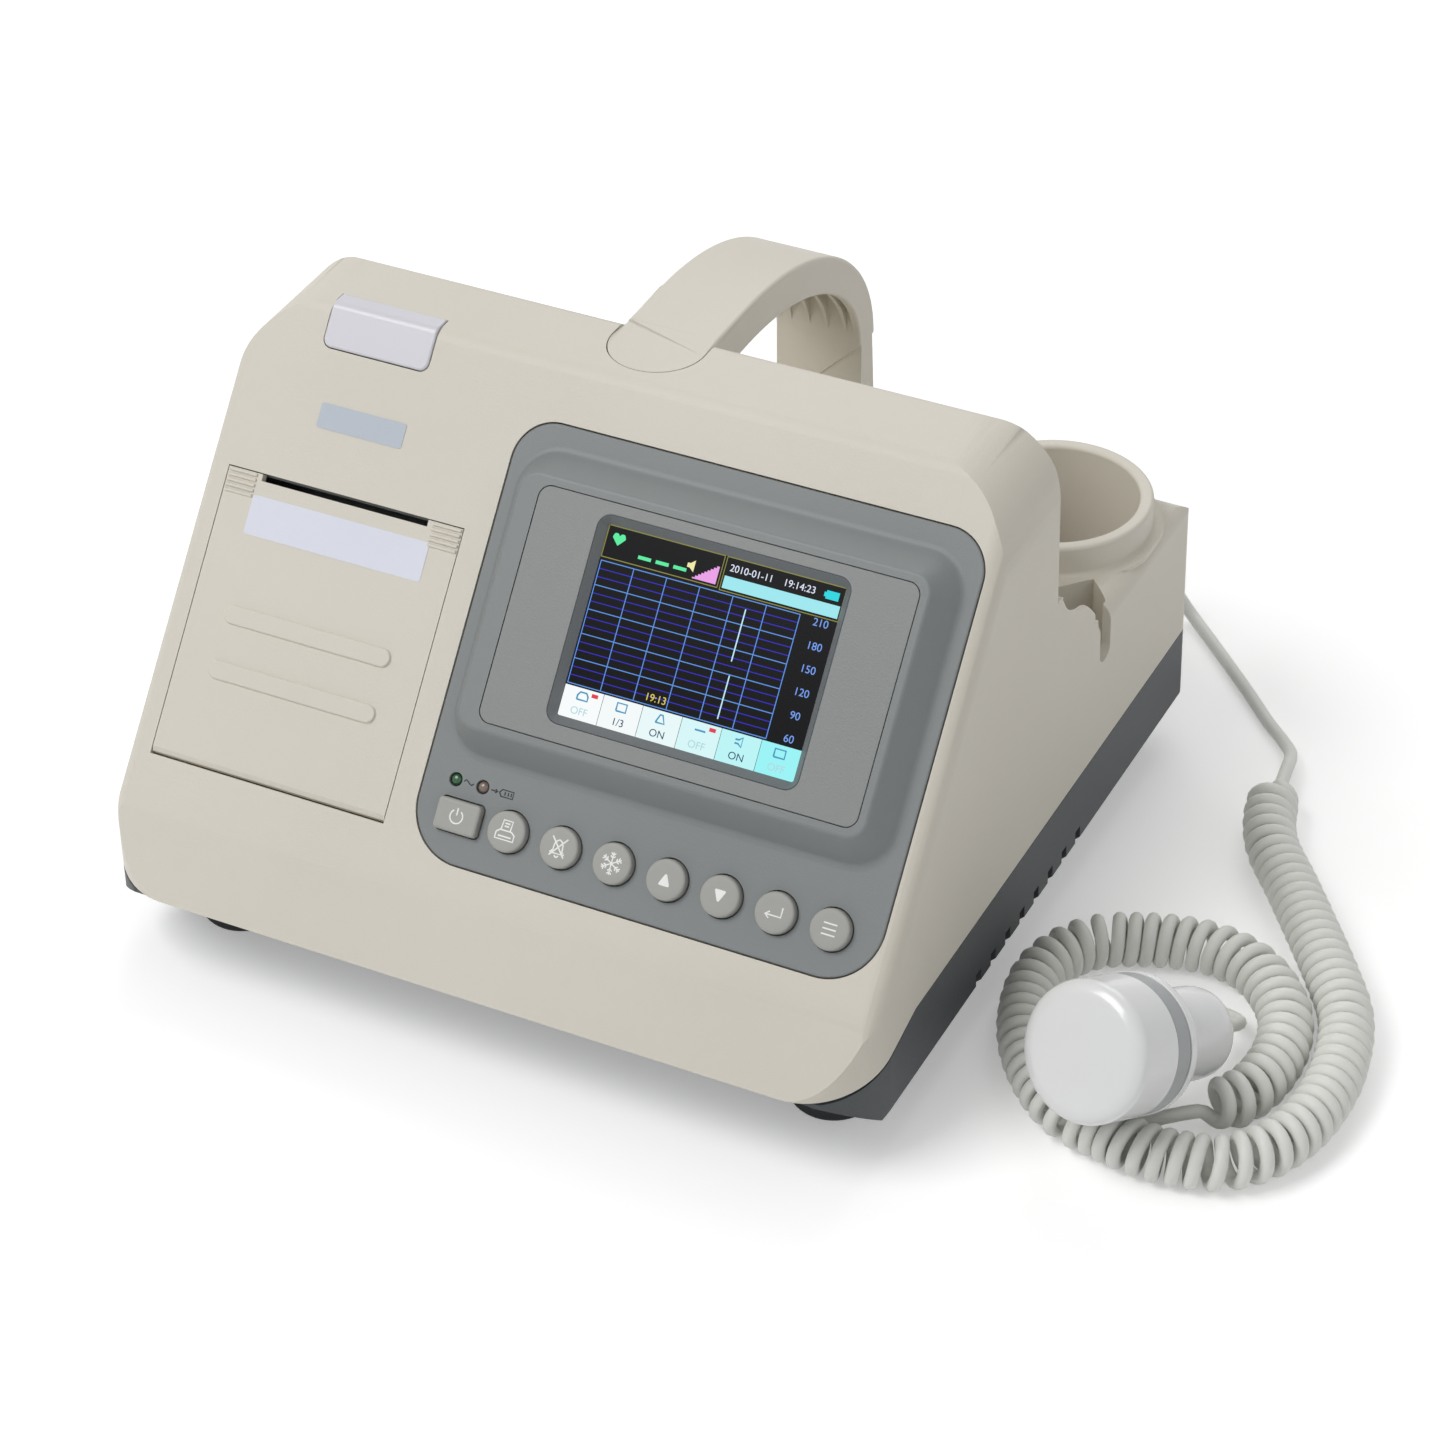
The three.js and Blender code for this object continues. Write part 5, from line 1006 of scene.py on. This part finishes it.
def makeScreen():
    face = plate("displayPlate", screenPlate["outline"], screenPlate["low"], screenPlate["high"], ringSteps)
    carve(face, plate("displayOpening", screenPlate["opening"], 5, 10, ringSteps))
    soften(face, 0.18, 2, 40, 30)
    dress(put(face, panelMatrix), plateGrey, stands=["screen_plate"])
    outside = grown(screenPlate["opening"], -0.05)
    inside = boxed(screen["x"], -screen["d"], screen["width"], screen["height"], 0.7)
    rings = [(outside, 5.25), (outside, 7.7), (grown(outside, -0.25), 7.9), (inside, 5.75), (inside, 5.25)]
    frameRing = stacked(
        "displayFrame", [(rounded(path, ringSteps), height) for path, height in rings], closedEnds=False)
    edit(frameRing)
    size = len(rounded(outside, ringSteps))
    choose(frameRing, "VERT", lambda vert: vert.index < size or vert.index >= 4 * size)
    bpy.ops.mesh.bridge_edge_loops()
    dress(smoothed(put(closed(frameRing), panelMatrix), 25), frameGrey)


makeScreen()
print("bezel and screen plate made")


# Symbols: fine raised lines and small solid shapes, printed on keys, panel and screen

def inkLines(name, lines, width, thick=0.06, sides=3):
    made = tube(name, [[(x * milli, y * milli, 0) for x, y in line] for line in lines], width, sides)
    pick(made)
    bpy.ops.object.convert(target="MESH")
    return put(bpy.context.object, Matrix.Diagonal((1, 1, 2 * thick / width, 1)))


def inkText(name, words, size, x, y, thick=0.04):
    bpy.ops.object.text_add()
    text = bpy.context.object.data
    text.body, text.size, text.extrude = words, size * milli, thick / 2 * milli
    text.align_x = text.align_y = "CENTER"
    bpy.ops.object.convert(target="MESH")
    made = bpy.context.object
    made.name = made.data.name = name
    edit(made)
    weld(1e-7)
    done()
    return shift(made, x, y)


def snowflake():
    lines = []
    for arm in range(6):
        way = Vector((math.cos(math.radians(60 * arm + 30)), math.sin(math.radians(60 * arm + 30))))
        lines.append([(0, 0), tuple(way * 2.7)])
        for at in (1.3, 2.0):
            for side in (-1, 1):
                angle = math.radians(60 * arm + 30 + side * 50)
                tip = way * at + Vector((math.cos(angle), math.sin(angle))) * 0.8
                lines.append([tuple(way * at), tuple(tip)])
    return lines


keySymbols = {
    "power": [ring(0, 0, 1.65, 125, 415), [(0, 0.3), (0, 2.1)]],
    "print": [
        [(-2.4, -0.5), (-1.5, 0.2), (1.5, 0.2), (2.4, -0.5), (2.4, -2.0), (-2.4, -2.0), (-2.4, -0.5)],
        [(-1.3, 0.2), (-1.1, 2.6), (1.3, 2.6), (1.1, 0.2)], [(-0.6, 1.9), (0.7, 1.9)],
        [(-0.6, 1.2), (0.6, 1.2)], [(-1.7, -1.25), (1.7, -1.25)]],
    "mute": [
        [(-1.9, -1.5), (-1.2, -0.8), (-1.1, 0.7), (-0.6, 1.5), (0, 1.8), (0.6, 1.5), (1.1, 0.7), (1.2, -0.8),
         (1.9, -1.5), (-1.9, -1.5)], ring(0, -1.9, 0.45, 180, 360, 8), [(-1.9, -2.2), (2.0, 2.4)],
        [(1.9, -2.2), (-2.0, 2.4)]],
    "freeze": snowflake(),
    "enter": [[(1.9, 1.6), (1.9, -0.7), (-2.0, -0.7)], [(-1.0, 0.1), (-2.1, -0.7), (-1.0, -1.5)]],
    "menu": [[(-1.7, 1.3), (1.7, 1.3)], [(-1.7, 0), (1.7, 0)], [(-1.7, -1.3), (1.7, -1.3)]],
}
keyTriangles = {
    "up": [(-1.55, -1.5, 0.3), (1.55, -1.5, 0.3), (0, 1.8, 0.35)],
    "down": [(0, -1.8, 0.35), (1.55, 1.5, 0.3), (-1.55, 1.5, 0.3)],
}


def makeKey(name, x):
    body, stand, radius, (low, high) = f"{name}_key", keys["stand"], keys["radius"], keys["flange"]
    if name == "power":
        made = layered("powerKey", boxed(0, 0, *keys["power"]), [
            (1.2, low), (1.2, high), (0, high), (0, stand - 0.75), (-0.12, stand - 0.4), (-0.4, stand - 0.12),
            (-0.8, stand - 0.02), (-1.1, stand)], ringSteps)
    else:
        made = turned(f"{name}Key", [
            (0, low), (radius + 1.3, low), (radius + 1.3, high), (radius, high),
            (radius, stand - 0.15, 0.75), (radius - 1.5, stand - 0.02, 1), (0, stand)], 56, 6)
    place = onPanel(x, -bezel["keyRow"])
    dress(smoothed(put(made, place), 40), keyGrey, body, [body])
    if name in keyTriangles:
        symbol = plate(f"{name}Symbol", keyTriangles[name], 0, 0.08)
    else:
        symbol = inkLines(f"{name}Symbol", keySymbols[name], 0.4 if name != "freeze" else 0.34)
    put(symbol, Matrix.Diagonal((keys["symbolScale"], keys["symbolScale"], 1, 1)))
    put(symbol, place @ moveBy(0, 0, stand - 0.02))
    dress(symbol, whiteInk, body)


makeKey("power", keys["powerX"])
for at, name in enumerate(keys["names"]):
    makeKey(name, keys["first"] + at * keys["pitch"])


def makeLamps():
    radius = lamps["radius"]
    for (name, x), finish, slot in zip(
            lamps["places"].items(), (greenLamp, amberLamp), ("green_lamp", "amber_lamp")):
        made = turned(f"{name}Lamp", [
            (0, -7.5), (radius + 0.25, -7.5), (radius + 0.25, -6.9), (radius, -6.9), (radius, -0.6, 0.5),
            (radius * 0.62, 0.05, 1), (0, 0.3)], 32)
        put(made, onPanel(x, -lamps["row"]))
        dress(smoothed(made, 50), finish, stands=[f"{name}_led"])
    marks = inkLines("lampMarks", [
        [(-14.6, 0.1), (-14.0, 0.65), (-13.4, 0.35), (-12.8, -0.2), (-12.2, -0.45), (-11.6, 0.1)],
        [(-6.2, 0), (-4.2, 0)], [(-4.9, 0.5), (-4.1, 0), (-4.9, -0.5)],
        [(-3.6, 0), (-2.9, 0.95), (0.6, 0.95), (0.6, -0.95), (-2.9, -0.95), (-3.6, 0)],
        [(-1.9, 0.5), (-1.9, -0.5)], [(-0.9, 0.5), (-0.9, -0.5)], [(0.0, 0.5), (0.0, -0.5)]], 0.38, 0.04)
    dress(put(marks, onPanel(0, -lamps["row"], 0.01)), darkInk)


makeLamps()
print("keys and lamps made")

# Display picture: a plain trace chart with numbers, all flat bars of light. Places run right and down from
# the picture's upper left corner, as shares of its width and height.

def onScreen(u, v):  # a share of the picture's width and height, from its upper left corner
    return screen["x"] + (u - 0.5) * screen["width"], -screen["d"] + (0.5 - v) * screen["height"]


def barsOfLight(name, boxes, rise, light, shade):
    points, faces = [], []
    for left, right, top, foot in boxes:
        first = len(points)
        points += [(*onScreen(u, v), screen["level"] + rise)
                   for u, v in ((left, foot), (right, foot), (right, top), (left, top))]
        faces.append(range(first, first + 4))
    made = pushedUp(fromPoints(name, points, [], faces), 0.02)
    return dress(put(made, panelMatrix), glow(light, shade))


def screenMark(made, u, v, rise, light, shade):
    put(made, onPanel(*onScreen(u, v), screen["level"] + rise))
    dress(made, glow(light, shade))


def screenWords(name, words, rise, light, shade):
    made = joined(name, [
        inkText(f"{name}{at}", text, size, *onScreen(u, v)) for at, (text, size, u, v) in enumerate(words)])
    put(made, onPanel(0, 0, screen["level"] + rise))
    return dress(made, glow(light, shade))


chart = {"left": 0.005, "right": 0.845, "top": 0.185, "foot": 0.825, "rows": 15, "columns": 6, "thin": 0.0036}
softKeyMarks = [
    [(-1.2, -0.7), (1.2, -0.7), (1.2, 0.2), (0.7, 0.9), (-0.7, 0.9), (-1.2, 0.2), (-1.2, -0.7)],
    [(-1.1, -0.8), (1.1, -0.8), (1.1, 0.9), (-1.1, 0.9), (-1.1, -0.8)],
    [(-1.0, -0.8), (1.0, -0.8), (0.3, 0.9), (-0.3, 0.9), (-1.0, -0.8)],
    [(-1.2, 0), (1.2, 0)],
    [(-1.1, -0.4), (-0.3, -0.4), (0.5, -1.0), (0.5, 1.0), (-0.3, 0.4), (-1.1, 0.4)],
    [(-1.2, -0.9), (1.2, -0.9), (1.2, 0.8), (-1.2, 0.8), (-1.2, -0.9)],
]


def makeChart():
    left, right, top, foot, thin, rows = (
        chart[key] for key in ("left", "right", "top", "foot", "thin", "rows"))
    tall = thin * screen["width"] / screen["height"]
    pitch = (foot - top) / rows
    columnPitch = (right - left) / chart["columns"]
    lines = [(left, right, top + row * pitch, top + row * pitch + tall) for row in range(rows + 1)]
    columns = [(left + column * columnPitch, left + column * columnPitch + thin, top, foot + tall)
               for column in range(chart["columns"] + 1)]
    return lines, columns, thin, tall


def makePicture():
    lines, columns, thin, tall = makeChart()
    mint = (92, 236, 160)
    for name, boxes, rise, light, shade in (
            ("screenDark", [(0, 1, 0, 1)], 0, "screenBlack", (8, 9, 12)),
            ("chartFaintLines", [line for row, line in enumerate(lines) if row % 3], 0.03,
             "deepBlueLight", (52, 44, 190)),
            ("chartBrightLines", lines[::3] + columns, 0.06, "blueLight", (98, 150, 232)),
            ("chartTrace", [(0.628, 0.633, 0.235, 0.505), (0.636, 0.641, 0.575, 0.8)], 0.09,
             "traceLight", (196, 240, 255)),
            ("headingLines", [
                (0.0, 0.495, 0.0, tall), (0.0, 0.495, 0.165, 0.165 + tall), (0.0, thin, 0.0, 0.165),
                (0.492, 0.495, 0.0, 0.165), (0.503, 1, 0.0, tall), (0.503, 1, 0.172, 0.172 + tall),
                (0.503, 0.506, 0.0, 0.172), (0.997, 1, 0.0, 0.172)], 0.03, "oliveLight", (142, 140, 70)),
            ("headingDashes", [(left, left + 0.055, 0.115, 0.133) for left in (0.15, 0.225, 0.3)], 0.05,
             "mintLight", mint),
            ("soundSteps", [
                (0.385 + step * 0.011, 0.396 + step * 0.011, 0.148 - step * 0.0105, 0.155)
                for step in range(9)], 0.05, "pinkLight", (234, 160, 230)),
            ("modeBar", [(0.512, 0.992, 0.098, 0.162)], 0.03, "aquaLight", (158, 230, 238)),
            ("batteryMark", [(0.925, 0.978, 0.035, 0.078), (0.917, 0.925, 0.045, 0.068)], 0.05,
             "cyanLight", (40, 214, 224))):
        barsOfLight(name, boxes, rise, light, shade)
    screenMark(plate("heartMark", [
        (0, -1.7, 0.2), (2.0, 0.4, 0.5), (1.5, 1.6, 0.6), (0.5, 1.6, 0.6), (0, 0.9), (-0.5, 1.6, 0.6),
        (-1.5, 1.6, 0.6), (-2.0, 0.4, 0.5)], 0, 0.03), 0.055, 0.065, 0.05, "heartLight", mint)
    screenMark(plate("soundMark", [
        (-1.5, -0.6), (-0.7, -0.6), (0.6, -1.6), (0.6, 1.6), (-0.7, 0.6), (-1.5, 0.6)], 0, 0.03),
        0.375, 0.095, 0.05, "creamLight", (240, 232, 170))
    for name, words, rise, light, shade in (
            ("screenClock", [("2010-01-11", 2.75, 0.615, 0.055), ("19:14:23", 2.75, 0.815, 0.055)], 0.05,
             "whiteLight", (226, 232, 250)),
            ("chartNumbers", [
                (number, 3.0, 0.935, 0.205 + at * 0.119)
                for at, number in enumerate(("210", "180", "150", "120", "90", "60"))], 0.05,
             "numberLight", (120, 160, 240)),
            ("chartTime", [("19:13", 2.9, 0.375, 0.79)], 0.12, "yellowLight", (222, 206, 90))):
        screenWords(name, words, rise, light, shade)


def makeSoftKeys():  # the row of cells along the picture's foot, each with a mark and a word
    cells = len(softKeyMarks)
    width = 1 / cells
    places = [(at + 0.5) * width for at in range(cells)]
    marks = []
    for at, (u, outline) in enumerate(zip(places, softKeyMarks)):
        share = at / (cells - 1)
        barsOfLight(
            f"softKey{at + 1}", [(at * width + 0.0015, (at + 1) * width - 0.0005, 0.838, 1)], 0.03,
            f"softKeyLight{at + 1}", (246 - 92 * share ** 2, 250 - 8 * share, 250 - 6 * share))
        x, y = onScreen(u, 0.89)
        marks.append([(x + px * 1.3, y + 0.5 + py * 1.3) for px, py in outline])
    made = put(inkLines("softKeyMarks", marks, 0.5, 0.02, 2), onPanel(0, 0, screen["level"] + 0.07))
    dress(made, glow("markLight", (70, 150, 190)))
    words = ("OFF", "1/3", "ON", "OFF", "ON", "OFF")
    for isOff, name, shade in (
            (False, "softKeyWords", (24, 66, 96)), (True, "softKeyPaleWords", (176, 214, 222))):
        chosen = [(word, 2.9, u, 0.958) for word, u in zip(words, places) if (word == "OFF") == isOff]
        screenWords(name, chosen, 0.07, f"{name}Light", shade)
    barsOfLight("stopMarks", [(places[at] + 0.035, places[at] + 0.062, 0.852, 0.872) for at in (0, 3)], 0.07,
                "redLight", (226, 60, 80))


makePicture()
makeSoftKeys()
print("display made")

# Printer door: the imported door, with its bars, ribbed corners and bare label done again

door = {
    "left": -109.49, "right": -34.89, "top": 50.7, "gripWidth": 9.6, "ribs": 5, "ribPitch": 1.48,
    "ribWidth": 0.85, "stand": 0.6,
    "bars": (90.7, 106.6), "barHalf": 24.0, "barWide": 2.6, "barStand": 0.85,
    "label": (-99.8, -43.5, 56.9, 68.1), "smallLabel": (-86.7, -59.7, 27.2, 34.3),
}


def makeDoor():
    made = put(copied("printer_door", "printerDoor"), panelMatrix.inverted())
    middle = (door["left"] + door["right"]) / 2
    carve(made, plate("doorFace", rectangle(door["left"] - 5, door["right"] + 5, -140, -45), 0, 8))
    edit(made)
    everything()
    bpy.ops.mesh.dissolve_limited(angle_limit=math.radians(0.3))
    done()
    for at in door["bars"]:
        half, stand = door["barWide"], door["barStand"]
        outline = boxed(middle, -at, 2 * (door["barHalf"] + half), 2 * half, half * 0.99)
        carve(made, layered("doorBar", outline, (
            (0.2, -0.8), (0.2, 0.01), (0.08, 0.1), (0, 0.3), (-0.06, stand - 0.25), (-0.2, stand - 0.08),
            (-0.45, stand)), 12), "UNION")
    for low in (door["left"], door["right"] - door["gripWidth"]):
        for rib in range(door["ribs"]):
            start = -door["top"] - 0.45 - rib * door["ribPitch"]
            outline = rectangle(
                low + 0.35, low + door["gripWidth"] - 0.25, start - door["ribWidth"], start, 0.2)
            carve(made, layered("gripRib", outline, (
                (0.12, -0.5), (0.12, 0.02), (0, 0.25), (-0.05, door["stand"] - 0.1), (-0.17, door["stand"])),
                3), "UNION")
    dress(smoothed(put(made, panelMatrix), 30), ivory, "printer_door", ["printer_door"])
    for name, (x0, x1, top, foot), body, paper in (
            ("doorLabel", door["label"], "printer_door", labelPaper),
            ("panelLabel", door["smallLabel"], "housing", smallLabelPaper)):
        label = plate(name, rectangle(x0, x1, -foot, -top, 0.8), 0.0, 0.14, 6)
        dress(put(label, panelMatrix), paper, body)


makeDoor()
print("printer door made")

# Hand probe

probeTurn = Vector((0, 0, 1)).rotation_difference(probe["axis"])
probeMatrix = placeAt(*probe["face"]) @ probeTurn.to_matrix().to_4x4()


def makeProbe():
    cap = turned("probeCap", [
        (0, 0), (9, 0.1, 20), (17.2, 0.55, 6), (19.4, 2.8, 3.2), (19.4, 17.95, 0.25), (17.4, 17.95),
        (17.4, 5, 2), (15.4, 2.2), (0, 2.2)], 96, 7)
    band = turned("probeBand", [
        (18.0, 18.35), (19.12, 18.35, 0.2), (19.12, 24.2, 0.2), (18.0, 24.2), (18.0, 18.35)], 96)
    back = smoothLine([(x, z, 0) for x, z in (
        (19.4, 26.6), (19.0, 27.8), (17.6, 29.5), (15.2, 31.4), (13.2, 33.8), (12.3, 37), (12.5, 42),
        (12.9, 48), (12.75, 54), (12.2, 56.4), (10.9, 58.0), (9.0, 58.5))], 6)
    body = turned("probeBody", [
        (15.1, 14), (17.1, 14), (17.1, 18.3), (17.7, 18.3), (17.7, 24.6), (19.4, 24.6, 0.25), (19.4, 25.6),
        *((point.x, point.y) for point in back), (3.2, 58.5), (3.2, 53.5), (9.7, 51), (9.7, 36), (15.1, 26),
        (15.1, 14)], 96)
    ribs = [(0, 53.5), (2.9, 53.5), (2.9, 58.8), (4.0, 58.8, 0.2), (4.0, 60.0, 0.3)]
    pitch = 3.11
    for rib in range(4):
        start, wide = 58.5 + (rib + 0.5) * pitch, 4.0 - (rib + 1) * 0.25
        end = start + pitch * 0.4
        ribs += [(2.25, start), (2.25, end), (wide, end, 0.3), (wide, start + pitch, 0.3)]
    ribs.append((0, 72.5))
    relief = turned("probeRelief", ribs, 40, 3)
    pieces = []
    for made, finish, slot, node in (
            (cap, probeWhite, "probe_white", "probe_cap"), (band, bandSilver, "band_grey", "probe_band"),
            (body, probeWhite, "probe_white", "probe_body"),
            (relief, cordIvory, "probe_white", "probe_relief")):
        pieces.append(dress(smoothed(put(made, probeMatrix)), finish, stands=[node]))
    return pieces


probePieces = makeProbe()


def makeGland():
    profile = [
        (0, -4.1), (4.8, -4.1), (4.8, -2.8), (4.0, -2.8), (4.0, 0.3), (7.0, 0.3, 0.3), (7.0, 1.9, 0.6),
        (4.6, 1.9, 0.5)]
    pitch = 3.457
    for rib in range(3):
        start, wide = 1.9 + (rib + 0.5) * pitch, 4.6 - rib * 0.53
        end = start + pitch / 3
        profile += [(2.25, start), (2.25, end), (wide, end, 0.3), (wide, start + pitch, 0.3)]
    profile.append((0, 14))
    made = turned("cordGland", profile, 40, 3)
    x, _, z = cordSizes["gland"]
    put(made, placeAt(x, housing["rear"], z) @ Matrix.Rotation(-quarter, 4, "X"))
    return dress(smoothed(made), cordIvory, stands=["probe_gland"])


makeGland()
print("probe and gland made")


# Floor, white background and light

stage = {
    "floorGlow": 0.3, "world": 0.42, "target": (0, 0, 0.08), "lamps": (
        ("keyLight", (-0.9, -1.1, 2.0), 1.2, 29), ("fillLight", (1.7, -0.4, 1.0), 1.2, 2.5),
        ("rearLight", (-0.3, 1.5, 1.6), 1.4, 10)),
}


def directRays(tree):  # 1 for rays from the camera, off a shiny surface or through glass
    ray = added(tree, "LightPath")
    seen = added(tree, "Math", {0: ray["Is Camera Ray"], 1: ray["Is Glossy Ray"]}, operation="MAXIMUM")
    return added(tree, "Math", {0: seen[0], 1: ray["Is Transmission Ray"]}, operation="MAXIMUM")[0]


def makeStage():
    bpy.ops.mesh.primitive_plane_add(size=8, location=(0, 0, 0))
    floor = bpy.context.object
    floor.name = "floor"
    material, tree, surface = shader("paleFloor")
    white = added(tree, "Math", {0: directRays(tree), 1: stage["floorGlow"]}, operation="MULTIPLY")
    feed(tree, surface, {
        "Base Color": (0.93, 0.93, 0.93, 1), "Roughness": 0.9, "Emission Color": (1, 1, 1, 1),
        "Emission Strength": white[0]})
    floor.data.materials.append(material)
    world = bpy.data.worlds.new("studio")
    bpy.context.scene.world = world
    world.use_nodes = True
    tree = world.node_tree
    tree.nodes.clear()
    mix = added(tree, "MixShader", {
        "Fac": directRays(tree), 1: added(tree, "Background", {"Strength": stage["world"]})[0],
        2: added(tree, "Background", {"Strength": 1})[0]})
    added(tree, "OutputWorld", {"Surface": mix[0]})
    for name, place, size, power in stage["lamps"]:
        bpy.ops.object.light_add(type="AREA", location=place)
        lamp = bpy.context.object
        lamp.name = name
        lamp.data.size = size
        lamp.data.energy = power
        lamp.rotation_mode = "QUATERNION"
        lamp.rotation_quaternion = (Vector(place) - Vector(stage["target"])).to_track_quat("Z", "Y")
    bpy.context.scene.view_settings.view_transform = "Standard"


makeStage()
print("stage made")
